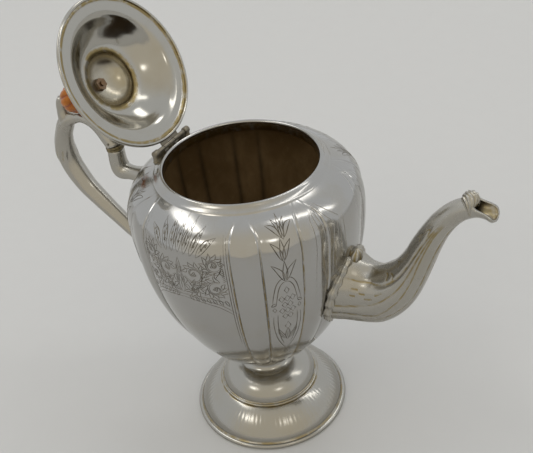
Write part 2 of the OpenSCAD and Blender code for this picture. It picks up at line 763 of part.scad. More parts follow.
module finial_fruit() {
    around = 4 * fruit_lobes;
    levels = 12;
    points = [
        for (i = [0 : levels])
            let (tilt = 5 + 170 * i / levels)
                for (j = [0 : around - 1])
                    let (
                        furrow = fruit_furrow * (1 - abs(cos(180 * fruit_lobes * j / around))) * sin(tilt),
                        r = (fruit_r - furrow) * sin(tilt)
                    )
                        [
                            r * cos(360 * j / around), r * sin(360 * j / around),
                            fruit_h - fruit_r * cos(tilt) + fruit_tip * pow(i / levels, 4)
                        ]
    ];
    color(amber) opened() translate([0, 0, lid_z])
        difference() {
            ring_solid(points, levels + 1, around);
            translate([0, 0, fruit_h - 2 * fruit_r])
                cylinder(r = stud_r + pin_gap, h = 2 * fruit_r - 1.2, $fn = 48);
        }
}

foot_wire();
foot_flange();
foot_step_wire();
foot_dome();
foot_collar();
vessel();
mouth_rim();
spout();
handle_upper_socket();
upper_insulator();
handle_grip();
lower_insulator();
handle_lower_socket();
insulator_pins();
hinge_bracket();
hinge_pin();
hinge_leaf();
lid_wire();
lid_shell();
lid_step_wire();
lid_dome();
finial_nut();
finial_stud();
finial_washer();
finial_cup();
finial_fruit();
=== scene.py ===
"""Looks of the lobed silver coffee pot: dressed pieces, materials, floor, lamps and camera.

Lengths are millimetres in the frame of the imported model, +Z up and +X towards the spout, and
mesh_piece() turns them into Blender's metres. Only lamps, noises and bumps are set in metres.
"""

import math

import bpy
import numpy as np
from mathutils import Matrix

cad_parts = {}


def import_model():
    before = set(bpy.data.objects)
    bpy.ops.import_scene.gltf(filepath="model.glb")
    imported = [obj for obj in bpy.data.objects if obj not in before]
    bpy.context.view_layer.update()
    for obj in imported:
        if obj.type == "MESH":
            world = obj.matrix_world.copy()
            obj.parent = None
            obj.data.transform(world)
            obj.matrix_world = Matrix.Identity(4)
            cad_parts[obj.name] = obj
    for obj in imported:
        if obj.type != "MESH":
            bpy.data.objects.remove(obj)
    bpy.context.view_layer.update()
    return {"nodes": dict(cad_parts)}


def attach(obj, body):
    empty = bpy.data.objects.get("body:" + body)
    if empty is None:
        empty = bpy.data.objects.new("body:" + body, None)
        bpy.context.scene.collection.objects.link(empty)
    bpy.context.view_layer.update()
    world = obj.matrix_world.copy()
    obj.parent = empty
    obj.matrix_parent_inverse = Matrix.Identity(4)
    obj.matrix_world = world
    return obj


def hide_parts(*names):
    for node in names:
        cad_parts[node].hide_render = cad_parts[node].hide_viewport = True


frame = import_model()

MM = 0.001
TAU = 2 * math.pi
DEGREE = math.radians(1)
scene = bpy.context.scene

# ------------------------------------------------------------------ sizes of the real pot

BODY_BASE_Z = 46.0
BELLY_Z = 156.3
BODY_TOP_Z = 184.0
BASE_R = 15.5
BELLY_R = 68.2
MOUTH_R = 46.0
NECK_BORE_R = 44.9
BODY_WALL = 1.1
# Powers of sine and cosine that shape the outline: radius below the belly, radius and height above it
LOWER_POWER = 1.434
SHOULDER_POWERS = (1.762, 0.51)

# Widths of the lobes in degrees, and their depth as a share of the radius
FRONT_PANEL = 36.0
NARROW_FLUTE = 14.0
MIDDLE_FLUTE = 19.5
SIDE_PANEL = 49.0
LOBE_DEPTH = 0.03
# The narrow flutes close to a spear point between these heights
SPEAR_Z = 172.0
SPEAR_TIP_Z = 184.2
# Crease depth, as a share of LOBE_DEPTH, at heights above the body's base
CREASE_RISE = ((0, 1.6), (9, 1.3), (24, 1), (104, 1), (126, 0.3), (132, 0))
# The chased line in each crease, and the raised edges that run beside it
GROOVE_DEPTH = 0.42
GROOVE_WIDTH = 0.5
EDGE_HEIGHT = 0.13
EDGE_WIDTH = 0.4
EDGE_OFFSET = 1.2

MOUTH_BEAD_R = 45.1
MOUTH_BEAD_Z = 185.4
MOUTH_BEAD = 1.2

FOOT_WIRE_R = 48.3
FOOT_WIRE_Z = 1.442
FOOT_WIRE = 1.7
FLANGE_TOP_R = 32.2
FLANGE_SPREAD = 14.7
FLANGE_Z = 4.2
FLANGE_RISE = 15.8
FLANGE_REEDS = 90
REED_DEPTH = 0.075
STEP_BEAD_R = 31.35
STEP_BEAD_Z = 20.9
STEP_BEAD = 0.9
DOME_TOP_R = 16.0
DOME_SPREAD = 14.4
DOME_Z = 22.0
DOME_RISE = 13.0
COLLAR_Z = 34.2
COLLAR_R = 13.6
FOOT_SHEET = 0.8

SPOUT_ROOT_Z = 117.7
SPOUT_WALL = 1.3
STRAINER_Z = SPOUT_ROOT_Z - 4
STRAINER_PITCH = 5.0
STRAINER_HOLE_R = 1.3
# The strainer's drills run between these, through the front wall only
DRILL_FROM_X = 34.0
DRILL_TO_X = 102.0

SEAT_R = 5.2
INSULATOR = 3.0
UPPER_LEAN = 10.0
LOWER_LEAN = 38.0
# The ring of beads round the upper socket's root
BEAD_RING_Z = 160.2
BEAD_RING_Y = 8.2
BEAD_RING_RISE = 8.9
BEAD_R = 1.25

HINGE_X = -47.6
HINGE_Z = 187.9
KNUCKLES_Y = (-10.0, 0.0, 10.0)
LUGS_Y = (-14.75, 14.75)

LID_OPEN = math.radians(118.8)
LID_Z = 187.74
LID_WIRE_R = 43.9
LID_WIRE = 1.0
LID_BEAD_R = 18.45
LID_BEAD_Z = 16.7
LID_BEAD = 0.9
LID_DOME_R = 16.7
LID_DOME_Z = 15.8
LID_DOME_RISE = 10.2
STUD_HOLE_R = 1.6
FRUIT_R = 9.3
FRUIT_Z = 52.4
FRUIT_LOBES = 9

# In metres
LAMP_DISTANCE = 2.2
LAMP_AIM_Z = 0.14


# ------------------------------------------------------------------ mesh helpers


def mesh_piece(name, points, faces, material, tarnish=None, smooth=True):
    """A mesh object from points in millimetres, with a tarnish for each point or one for all."""
    mesh = bpy.data.meshes.new(name)
    mesh.from_pydata((np.asarray(points, float).reshape(-1, 3) * MM).tolist(), [], faces)
    if tarnish is not None:
        values = np.zeros(len(mesh.vertices)) + np.ravel(tarnish)
        layer = mesh.attributes.new("tarnish", "FLOAT", "POINT")
        layer.data.foreach_set("value", values.astype(np.float32))
    mesh.polygons.foreach_set("use_smooth", [smooth] * len(mesh.polygons))
    mesh.materials.append(material)
    mesh.update()
    piece = bpy.data.objects.new(name, mesh)
    scene.collection.objects.link(piece)
    return piece


def solid(name, points, faces, material, tarnish=None, smooth=True):
    """A closed mesh_piece with its faces turned outwards."""
    piece = mesh_piece(name, points, faces, material, tarnish, smooth)
    bpy.context.view_layer.objects.active = piece
    piece.select_set(True)
    bpy.ops.object.mode_set(mode="EDIT")
    bpy.ops.mesh.select_all(action="SELECT")
    bpy.ops.mesh.normals_make_consistent(inside=False)
    bpy.ops.object.mode_set(mode="OBJECT")
    piece.select_set(False)
    return piece


def joined(name, parts, material):
    """One solid from several (points, faces, tarnish) parts."""
    points, faces, tarnish = [], [], []
    for part_points, part_faces, part_tarnish in parts:
        start = len(points)
        points.extend(part_points.tolist())
        faces.extend(tuple(start + k for k in face) for face in part_faces)
        tarnish.extend([part_tarnish] * len(part_points))
    return solid(name, points, faces, material, tarnish)


def grid_faces(rows, cols, wrap_rows=False):
    """Quads of a grid of points laid row by row, each row a closed ring."""
    faces = []
    for i in range(rows if wrap_rows else rows - 1):
        here, above = i * cols, (i + 1) % rows * cols
        for j in range(cols):
            k = (j + 1) % cols
            faces.append((here + j, here + k, above + k, above + j))
    return faces


def tube_faces(rows, cols):
    """Faces of a tube of rings: its sides, then its two ends."""
    last = (rows - 1) * cols
    return grid_faces(rows, cols) + [tuple(range(cols - 1, -1, -1)), tuple(range(last, last + cols))]


def xyz(*coordinates):
    """Points from arrays of their coordinates, which may be (r, z) or (azimuth, z) pairs too."""
    return np.stack(np.broadcast_arrays(*coordinates), axis=-1)


def around_z(r, angle, z):
    """Points from radii, angles in radians and heights."""
    return xyz(r * np.cos(angle), r * np.sin(angle), z)


def ring_angles(count):
    """Angles round a ring in radians."""
    return np.arange(count) * TAU / count


def turned_points(profile, around=256, flute=None):
    """Rings of an (r, z) profile about Z; flute(r, z, angle) may move each radius."""
    angle = ring_angles(around)[None, :]
    r, z = profile[:, 0:1], profile[:, 1:2]
    if flute:
        r = r + flute(r, z, angle)
    return around_z(r, angle, z)


def turned(name, profile, material, around=256, flute=None, stain=None, place=None):
    """A closed (r, z) profile turned about Z. stain is for its first points, the rest are clean."""
    profile = np.asarray(profile, float)
    points = turned_points(profile, around, flute)
    if place:
        points = place(points)
    if stain is not None:
        stain = np.repeat(np.append(stain, np.zeros(len(profile) - len(stain))), around)
    return solid(name, points, grid_faces(len(profile), around, True), material, stain)


def ring_of_wire(name, ring_r, wire_r, z, material, stain=None, around=256, place=None):
    """A torus of round wire about Z."""
    return turned(name, arc(ring_r, z, wire_r, 0, 345, 24), material, around, None, stain, place)


# How far out each point of such a wire's section lies, from -1 to 1
WIRE_OUT = np.cos(np.radians(np.linspace(0, 345, 24)))


def cut(piece, cutter):
    """Takes cutter out of piece, and deletes cutter."""
    modifier = piece.modifiers.new("cut", "BOOLEAN")
    modifier.operation = "DIFFERENCE"
    modifier.solver = "MANIFOLD"
    modifier.object = cutter
    bpy.context.view_layer.update()
    done = bpy.data.meshes.new_from_object(piece.evaluated_get(bpy.context.evaluated_depsgraph_get()))
    piece.modifiers.clear()
    piece.data = done
    bpy.data.objects.remove(cutter)


def smooth_line(points, parts):
    """Catmull-Rom line through points, with parts steps between each pair."""
    p = np.asarray(points, float)
    t = np.arange(parts)[:, None] / parts
    line = []
    for i in range(len(p) - 1):
        a, b, c, d = p[max(i - 1, 0)], p[i], p[i + 1], p[min(i + 2, len(p) - 1)]
        square, cube = 2 * a - 5 * b + 4 * c - d, 3 * b - a - 3 * c + d
        line.extend(0.5 * (2 * b + (c - a) * t + square * t**2 + cube * t**3))
    return np.array(line + [p[-1]])


def arc(cx, cz, radius, start, end, steps):
    """Points of an arc in a profile; angles in degrees from +r towards +z."""
    angles = np.radians(np.linspace(start, end, steps))
    return xyz(cx + radius * np.cos(angles), cz + radius * np.sin(angles))


def ripple(distance, width):
    """1 on a line and falling to 0 about two widths away from it."""
    return np.exp(-((distance / width) ** 2))


def place_piece(piece, body, slot, *nodes):
    """Rides the piece on its body and hides the CAD nodes that it stands for; slot is not used."""
    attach(piece, body)
    if nodes:
        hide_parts(*nodes)
    return piece


# ------------------------------------------------------------------ materials


class Graph:
    """A small writer for the node tree of a material, a lamp or a world."""

    def __init__(self, owner):
        owner.use_nodes = True
        self.tree = owner.node_tree

    def feed(self, socket, value):
        """Links a socket to another, or sets its value."""
        if isinstance(value, bpy.types.NodeSocket):
            self.tree.links.new(value, socket)
        else:
            socket.default_value = value

    def feed_named(self, node, inputs):
        for key, value in inputs.items():
            self.feed(node.inputs[key.replace("_", " ")], value)

    def node(self, kind, settings=None, **inputs):
        made = self.tree.nodes.new("ShaderNode" + kind)
        for key, value in (settings or {}).items():
            setattr(made, key, value)
        self.feed_named(made, inputs)
        return made

    def value(self, operation, a, b=0.0, clamp=True):
        """The result of a sum on two values."""
        made = self.node("Math", {"operation": operation, "use_clamp": clamp})
        self.feed(made.inputs[0], a)
        self.feed(made.inputs[1], b)
        return made.outputs[0]

    def mix(self, share, a, b):
        """Colour a where share is 0 and colour b where it is 1."""
        made = self.node("Mix", {"data_type": "RGBA"})
        for k, v in ((0, share), (6, a), (7, b)):
            self.feed(made.inputs[k], v)
        return made.outputs[2]

    def noise(self, scale, detail=3.0, roughness=0.5, stretch=(1, 1, 1)):
        """Noise that stays with the object as it moves."""
        where = self.node("TexCoord").outputs["Object"]
        mapped = self.node("Mapping", None, Vector=where, Scale=stretch).outputs[0]
        made = self.node("TexNoise", None, Vector=mapped, Scale=scale, Detail=detail, Roughness=roughness)
        return made.outputs[0]

    def between(self, value, low, high, to_low=0.0, to_high=1.0):
        """A smooth step from to_low to to_high as value goes from low to high."""
        made = self.node("MapRange", {"interpolation_type": "SMOOTHSTEP"})
        for k, v in enumerate((value, low, high, to_low, to_high)):
            self.feed(made.inputs[k], v)
        return made.outputs[0]

    def bump(self, height, distance, strength, onto=None):
        """Normals bent by a height, on top of others if given."""
        made = self.node("Bump", None, Height=height, Distance=distance, Strength=strength)
        if onto:
            self.feed(made.inputs["Normal"], onto)
        return made.outputs[0]


class Paint(Graph):
    """The graph of a new material."""

    def __init__(self, name):
        self.material = bpy.data.materials.new(name)
        super().__init__(self.material)

    def tarnish(self):
        """The tarnish that the meshes carry."""
        return self.node("Attribute", {"attribute_name": "tarnish"}).outputs["Fac"]

    def finished(self, **inputs):
        """Feeds the shader's inputs and returns the material."""
        self.feed_named(self.tree.nodes["Principled BSDF"], inputs)
        return self.material


SILVER = (0.435, 0.428, 0.412, 1)
SILVER_WARM = (0.40, 0.372, 0.315, 1)
TARNISH_GOLD = (0.29, 0.225, 0.105, 1)
TARNISH_BROWN = (0.085, 0.062, 0.036, 1)


def silver(name, colour=SILVER, roughness=0.14, patina=0.5, waves=0.02):
    """Old silver plate: tarnish in the marks, a warm patina in clouds, hairline wear."""
    g = Paint(name)
    mark = g.tarnish()
    clouds = g.noise(38, 5, 0.62)
    fine = g.noise(150, 4, 0.65)
    soft = g.value("MULTIPLY", g.between(clouds, 0.45, 0.75), patina)
    base = g.mix(soft, colour, SILVER_WARM)
    broken = g.value("MULTIPLY", mark, g.between(fine, 0.3, 0.62, 0.35, 1.0))
    gold = g.mix(g.between(broken, 0.12, 0.6), base, TARNISH_GOLD)
    worn = g.between(clouds, 0.35, 0.7, roughness * 0.85, roughness * 1.25)
    dents = g.bump(g.noise(24, 2, 0.4), 0.004, waves)
    return g.finished(
        Base_Color=g.mix(g.between(broken, 0.68, 1.0), gold, TARNISH_BROWN), Metallic=1.0,
        Roughness=g.value("ADD", worn, g.value("MULTIPLY", mark, 0.22)),
        Normal=g.bump(g.noise(900, 2, 0.7, (1, 1, 0.12)), 0.00002, 0.35, dents),
    )


def stained_inside(name):
    """Coffee-stained sheet inside the pot: dark brown, with lighter worn patches."""
    g = Paint(name)
    clouds = g.noise(26, 6, 0.65, (1, 1, 0.5))
    specks = g.noise(260, 4, 0.7)
    base = g.mix(g.between(clouds, 0.4, 0.75), (0.21, 0.134, 0.058, 1), (0.43, 0.30, 0.155, 1))
    base = g.mix(g.between(specks, 0.5, 0.8, 0, 0.35), base, (0.40, 0.30, 0.17, 1))
    return g.finished(
        Base_Color=g.mix(g.tarnish(), base, (0.012, 0.008, 0.004, 1)), Metallic=0.35,
        Roughness=g.between(clouds, 0.3, 0.7, 0.42, 0.6), Normal=g.bump(specks, 0.0004, 0.25),
    )


def engraving(name):
    """The dark, dirty bottom of a graver's cut."""
    g = Paint(name)
    wear = g.noise(300, 4, 0.6)
    dirt = g.mix(g.between(wear, 0.35, 0.7), (0.085, 0.076, 0.060, 1), (0.20, 0.18, 0.145, 1))
    return g.finished(Base_Color=dirt, Roughness=g.between(wear, 0.3, 0.7, 0.3, 0.45), Metallic=0.8)


def bone(name):
    """Aged bone, yellow-brown with darker rings and fine pores along the grain."""
    g = Paint(name)
    grain = g.noise(420, 5, 0.65, (1, 1, 0.2))
    base = g.mix(g.between(grain, 0.35, 0.7), (0.11, 0.085, 0.035, 1), (0.24, 0.19, 0.085, 1))
    return g.finished(
        Base_Color=g.mix(g.tarnish(), base, (0.025, 0.018, 0.01, 1)),
        Roughness=g.between(grain, 0.3, 0.7, 0.35, 0.5), Normal=g.bump(grain, 0.0003, 0.3),
    )


def amber(name):
    """Glossy orange fruit: deeper colour in its furrows, faint cloudiness, a clear coat."""
    g = Paint(name)
    clouds = g.noise(210, 4, 0.6)
    base = g.mix(g.between(clouds, 0.3, 0.75), (0.31, 0.085, 0.001, 1), (0.47, 0.15, 0.002, 1))
    return g.finished(
        Base_Color=g.mix(g.tarnish(), base, (0.20, 0.03, 0.003, 1)), Specular_IOR_Level=0.3,
        Coat_Weight=0.2, Coat_Roughness=0.08,
        Roughness=g.between(clouds, 0.3, 0.7, 0.22, 0.34), Normal=g.bump(clouds, 0.0004, 0.3),
    )


def floor_paint(name):
    """Plain pale floor with a trace of tooth."""
    g = Paint(name)
    tone = g.mix(g.noise(60), (0.60, 0.60, 0.60, 1), (0.615, 0.615, 0.613, 1))
    return g.finished(Base_Color=tone, Roughness=0.75)


SILVER_BODY_M = silver("silver_body", patina=0.4)
SILVER_M = silver("silver_plain", roughness=0.17, patina=0.6, waves=0.03)
SILVER_CAST_M = silver("silver_cast", (0.42, 0.402, 0.36, 1), 0.26, 0.7, 0.05)
SILVER_DULL_M = silver("silver_dull", (0.19, 0.168, 0.13, 1), 0.3, 0.9)
NUT_M = silver("rusty_nut", (0.20, 0.125, 0.07, 1), 0.4, 0.9)
SILVER_FOOT_M = silver("silver_foot", (0.405, 0.392, 0.358, 1), 0.19, 0.7, 0.03)
SILVER_DOME_M = silver("silver_gilt", (0.45, 0.415, 0.335, 1), 0.17, 0.8)
SILVER_LID_M = silver("silver_lid", (0.43, 0.415, 0.375, 1), 0.15, 0.8)
INSIDE_M = stained_inside("stained_inside")
ENGRAVED_M = engraving("engraved_line")
# Lighter silver for one slope of a cut: a painted highlight that stands for the light the cut's edge
# catches
PAINTED_HIGHLIGHT_M = silver("painted_highlight_edge", (0.47, 0.46, 0.435, 1), 0.3, 0.5)
BONE_M = bone("aged_bone")
AMBER_M = amber("amber_fruit")
FLOOR_M = floor_paint("pale_floor")


# ------------------------------------------------------------------ body


def body_outline():
    """(r, z) of the body's outside from base to mouth, with its curvature evened out."""
    low = np.linspace(0, math.pi / 2, 600)
    lower = xyz(
        BASE_R + (BELLY_R - BASE_R) * np.sin(low) ** LOWER_POWER,
        BODY_BASE_Z + (BELLY_Z - BODY_BASE_Z) * (1 - np.cos(low)),
    )
    high = np.linspace(0, 1, 400)[1:] ** 1.9 * math.pi / 2
    upper = xyz(
        MOUTH_R + (BELLY_R - MOUTH_R) * np.cos(high) ** SHOULDER_POWERS[0],
        BELLY_Z + (BODY_TOP_Z - BELLY_Z) * np.sin(high) ** SHOULDER_POWERS[1],
    )
    line = np.concatenate([lower, upper])
    length = np.concatenate([[0], np.cumsum(np.linalg.norm(np.diff(line, axis=0), axis=1))])
    even = np.linspace(0, length[-1], 800)
    line = xyz(*(np.interp(even, length, line[:, k]) for k in (0, 1)))
    spread, reach = 22, 60
    weights = np.exp(-0.5 * (np.arange(-reach, reach + 1) / spread) ** 2)
    weights /= weights.sum()
    ends = np.concatenate([2 * line[0] - line[reach:0:-1], line, 2 * line[-1] - line[-2:-reach - 2:-1]])
    return xyz(*(np.convolve(ends[:, k], weights, "valid") for k in (0, 1)))


BODY_LINE = body_outline()
FLUTES = (NARROW_FLUTE, MIDDLE_FLUTE, NARROW_FLUTE)
LOBE_WIDTHS = (FRONT_PANEL, *FLUTES, SIDE_PANEL, *FLUTES) * 2
CREASE_AT = np.cumsum((-FRONT_PANEL / 2,) + LOBE_WIDTHS[:-1])
CREASE_SIDE = np.array([1 if width == NARROW_FLUTE else -1 for width in LOBE_WIDTHS])


def outline_rows(step):
    """(r, z) of the body's rings: every step-th point of its outline, and the last."""
    return BODY_LINE[np.r_[0:len(BODY_LINE):step, len(BODY_LINE) - 1]]


def creases(z):
    """Azimuths in degrees of the sixteen creases at heights z, along a last axis."""
    closing = np.clip((np.asarray(z, float)[..., None] - SPEAR_Z) / (SPEAR_TIP_Z - SPEAR_Z), 0, 1) ** 3
    return CREASE_AT + CREASE_SIDE * NARROW_FLUTE / 2 * closing


def body_radius(z):
    """Radius on the crown of a lobe at height z."""
    return np.interp(z, BODY_LINE[:, 1], BODY_LINE[:, 0])


def crease_share(z):
    """Crease depth at height z as a share of LOBE_DEPTH."""
    return np.interp(z - BODY_BASE_Z, *zip(*CREASE_RISE))


def lobe_dip(z, across):
    """Radius as a share of the crown's; across is 0 on a lobe's crown, -1 and 1 in its creases."""
    return 1 - LOBE_DEPTH * crease_share(z) * across**2


def groove(distance, z):
    """Radius added near a crease, for a distance from it in mm: a chased line between two edges."""
    share = np.interp(z, (BODY_BASE_Z, 60, 179, 183.8), (0.4, 1, 1, 0))
    edge = EDGE_HEIGHT * ripple(distance - EDGE_OFFSET, EDGE_WIDTH)
    return share * (edge - GROOVE_DEPTH * ripple(distance, GROOVE_WIDTH))


def body_at(azimuth, z, lift=0.0, crown=None):
    """Points on the body's outside at azimuths (degrees) and heights, lifted off it by lift."""
    azimuth, z = np.broadcast_arrays(np.asarray(azimuth, float), np.asarray(z, float))
    start = creases(z)
    turn = (azimuth - CREASE_AT[0]) % 360 + CREASE_AT[0]
    turn = np.where(turn >= start[..., 0] + 360, turn - 360, turn)
    index = np.maximum((turn[..., None] >= start).sum(-1) - 1, 0)[..., None]
    end = np.concatenate([start[..., 1:], start[..., :1] + 360], axis=-1)
    first = np.take_along_axis(start, index, -1)[..., 0]
    last = np.take_along_axis(end, index, -1)[..., 0]
    if crown is None:
        crown = body_radius(z)
    edge = np.minimum(turn - first, last - turn) * DEGREE * crown
    r = crown * lobe_dip(z, 2 * (turn - first) / (last - first) - 1) + groove(edge, z)
    steep = (body_radius(z + 0.3) - body_radius(z - 0.3)) / 0.6
    out = lift / np.sqrt(1 + steep**2)
    return around_z(r + out, np.radians(azimuth), z - steep * out)


def body_columns():
    """Lobe and share of its width of each column of points, closer together at the creases."""
    near = np.array((0, 0.18, 0.38, 0.6, 0.82, 1.05, 1.4))
    columns = []
    for lobe, width in enumerate(LOBE_WIDTHS):
        middle = np.linspace(1.9, width - 1.9, max(4, int(width / 1.1)))
        columns += [(lobe, a / width) for a in (*near, *middle, *(width - near[:0:-1]))]
    return np.array(columns)


def column_azimuths(columns, z):
    """Azimuths of the body's columns at height z, between the creases there."""
    start = creases(z)
    end = np.append(start[1:], start[0] + 360)
    lobe = columns[:, 0].astype(int)
    return start[lobe] + (end[lobe] - start[lobe]) * columns[:, 1]


def vessel():
    """The lobed sheet body, with gold tarnish in its creases and a stained inside."""
    columns = body_columns()
    outer = outline_rows(5)
    tangent = np.gradient(outer, axis=0)
    tangent /= np.linalg.norm(tangent, axis=1)[:, None]
    inner = (outer + BODY_WALL * xyz(-tangent[:, 1], tangent[:, 0]))[2:-2:3]
    inner = inner[inner[:, 0] > 4]
    neck = [[NECK_BORE_R, BODY_TOP_Z], [NECK_BORE_R, BODY_TOP_Z - BODY_WALL]]
    across = 2 * columns[:, 1] - 1
    width = np.array(LOBE_WIDTHS)[columns[:, 0].astype(int)]
    distance = np.minimum(columns[:, 1], 1 - columns[:, 1]) * width * DEGREE
    points, tarnish = [], []
    for r, z in outer:
        points.append(body_at(column_azimuths(columns, z), z, crown=r))
        held = np.interp(z, (BODY_BASE_Z, 58, 100, 150, 168, 177), (0.5, 0.6, 0.72, 0.72, 0.5, 0))
        base = np.interp(z, (BODY_BASE_Z, 50, 55), (0.5, 0.4, 0))
        tarnish.append(np.maximum(held * ripple(distance * r, 0.4), base))
    for r, z in np.concatenate([neck, inner[::-1]]):
        points.append(around_z(r * lobe_dip(z, across), np.radians(column_azimuths(columns, z)), z))
        tarnish.append(0.55 * ripple(distance * r, 1.7) * crease_share(z))
    rows, cols = len(points), len(columns)
    piece = solid("lobed_body", points, tube_faces(rows, cols), SILVER_BODY_M, tarnish)
    piece.data.materials.append(INSIDE_M)
    # All but the outer sides and the outer bottom, which is the last face but one
    index = np.zeros(len(piece.data.polygons), np.int32)
    index[len(outer) * cols:] = 1
    index[-2] = 0
    piece.data.polygons.foreach_set("material_index", index)
    cut(piece, strainer_drills())
    return place_piece(piece, "pot", "silver_body", "vessel")


def strainer_drills():
    """Drills for the strainer's nineteen holes, behind the spout."""
    parts = []
    turn = ring_angles(16)
    for ring in range(3):
        for k in range(max(6 * ring, 1)):
            a = math.radians(60 * k / max(ring, 1) + 30)
            y = STRAINER_PITCH * ring * math.sin(a) + STRAINER_HOLE_R * np.cos(turn)
            z = STRAINER_Z + STRAINER_PITCH * ring * math.cos(a) + STRAINER_HOLE_R * np.sin(turn)
            ends = [xyz(x, y, z) for x in (DRILL_FROM_X, DRILL_TO_X)]
            parts.append((np.concatenate(ends), tube_faces(2, 16), 1.0))
    return joined("drills", parts, INSIDE_M)


def body_core():
    """The body as a solid, 0.1 mm under its outside, for cutting what is soldered to it."""
    columns = body_columns()[::2]
    heights = outline_rows(10)[1:, 1]
    points = np.stack([body_at(column_azimuths(columns, z), z, -0.1) for z in heights])
    return solid("core", points, tube_faces(len(heights), len(columns)), SILVER_M, 1.0)


def mouth_rim():
    """Bead round the mouth with a skirt inside it."""
    slope = smooth_line(((50.2, 182.5), (49.3, 183.5), (48.2, 184.2), (47.1, 185.0), (46.3, 185.9)), 5)
    crest = arc(MOUTH_BEAD_R, MOUTH_BEAD_Z, MOUTH_BEAD, 40, 190, 18)
    skirt = [[43.9, 184.3], [43.9, 180.2], [44.1, 180.0], [44.7, 180.0], [44.8, 180.3], [44.8, 182.5]]
    profile = np.concatenate([slope, crest, skirt])
    stain = np.interp(np.arange(len(profile)), [0, 3, 36, 39, 44], [0.15, 0, 0, 0.5, 1.6])
    bead = turned("mouth_bead", profile, SILVER_M, 320, None, stain)
    return place_piece(bead, "pot", "silver", "mouth_rim")


# ------------------------------------------------------------------ foot


def flange_outline(s):
    """(r, z) of the foot's flange from its edge (0) to the step (1)."""
    spread = np.clip(1 - s**1.5, 0, 1) ** 0.83
    return xyz(FLANGE_TOP_R + FLANGE_SPREAD * spread, FLANGE_Z + FLANGE_RISE * s)


def dome_outline(s):
    """(r, z) of the foot's dome from its skirt (0) to the collar (1)."""
    spread = np.clip(1 - s**2, 0, 1) ** 0.625
    return xyz(DOME_TOP_R + DOME_SPREAD * spread, DOME_Z + DOME_RISE * s)


def foot():
    """Spun foot: a reeded flange with a wire edge, a dome on a beaded step, and a collar."""
    around = 360

    def reeds(r, z, angle):
        fade = np.clip((z - 6) / 5, 0, 1) * np.clip((20.2 - z) / 3, 0, 1)
        return REED_DEPTH * fade * np.cos(FLANGE_REEDS * angle)

    s = 1 - (1 - np.linspace(0, 1, 48)) ** 2
    fillet = [[48.2, 2.4], [48.0, 3.05], [47.35, 3.35], [47.0, 3.8]]
    outer = np.concatenate([fillet, flange_outline(s), [[28.9, 20.0]]])
    profile = np.concatenate([outer, outer[::-1] - [FOOT_SHEET, FOOT_SHEET]])
    slope_stain = np.interp(s[1:], [0, 0.05, 0.965, 1], [0.25, 0, 0, 0.5])
    stain = np.concatenate([[0.5, 0.5, 0.5, 0.4, 0.3], slope_stain, [0.6]])
    flange = turned("foot_flange_skin", profile, SILVER_FOOT_M, around, reeds, stain)
    place_piece(flange, "pot", "silver", "foot_flange")

    edge = arc(FOOT_WIRE_R, FOOT_WIRE_Z, FOOT_WIRE, -58, 238, 40)
    stain = np.interp(np.arange(40), [0, 6, 24, 32, 39], [0.3, 0, 0, 0.3, 0.5])
    wire = turned("foot_edge_wire", edge, SILVER_FOOT_M, around, None, stain)
    place_piece(wire, "pot", "silver", "foot_wire")

    t = np.sin(np.linspace(0, math.pi / 2, 40))
    outer = np.concatenate([[[31.3, 20.6], [31.2, 21.75], [30.75, 21.9]], dome_outline(t), [[11, 35.0]]])
    inner = outer[::-1] - [1.0, FOOT_SHEET]
    inner[:, 1] = np.maximum(inner[:, 1], 20.0)
    slope_stain = np.interp(t, [0, 0.08, 0.94, 1], [0.35, 0.05, 0.0, 0.1])
    stain = np.concatenate([[0.5, 0.5, 0.5], slope_stain, [0.3]])
    dome = turned("foot_dome_skin", np.concatenate([outer, inner]), SILVER_FOOT_M, around, None, stain)
    place_piece(dome, "pot", "silver", "foot_dome")

    stain = 0.1 + 0.4 * np.abs(WIRE_OUT)
    step = ring_of_wire("foot_step_bead", STEP_BEAD_R, STEP_BEAD, STEP_BEAD_Z, SILVER_FOOT_M, stain)
    place_piece(step, "pot", "silver", "foot_step_wire")

    u = np.linspace(0, 1, 30)
    waist = COLLAR_R + 5.5 * (1 - u) ** 8 + 1.8 * u**4
    outer = xyz(waist, COLLAR_Z + (BODY_BASE_Z - COLLAR_Z) * u)
    profile = np.concatenate([outer, [[10, BODY_BASE_Z], [10, 35]]])
    stain = np.interp(u, [0, 0.12, 0.85, 1], [0.15, 0, 0.2, 0.5])
    collar = turned("foot_collar_skin", profile, SILVER_FOOT_M, 256, None, stain)
    place_piece(collar, "pot", "silver", "foot_collar")


# ------------------------------------------------------------------ engraving

# The cuts' middles stand this far off the body, so that they show
CUT_LIFT = 0.07
# Millimetres in a degree of azimuth at the belly
DEGREE_MM = DEGREE * BELLY_R


def cut_points(place, width):
    """A graver's cut along points (azimuth, z): rings of three points, with tapered ends."""
    if len(place) < 3:
        share = np.linspace(0, 1, len(place))
        place = xyz(*(np.interp(np.linspace(0, 1, 5), share, place[:, k]) for k in (0, 1)))
    crown = body_at(place[:, 0], place[:, 1], CUT_LIFT)
    outward = body_at(place[:, 0], place[:, 1], CUT_LIFT + 1) - crown
    side = np.cross(np.gradient(crown, axis=0), outward)
    side /= np.linalg.norm(side, axis=1)[:, None] + 1e-9
    taper = width / 2 * np.sin(np.linspace(0.12, math.pi - 0.12, len(place)))[:, None] ** 0.5
    sunk = crown - outward * (CUT_LIFT + 0.02)
    return np.stack([sunk - side * taper, crown, sunk + side * taper], axis=1).reshape(-1, 3)


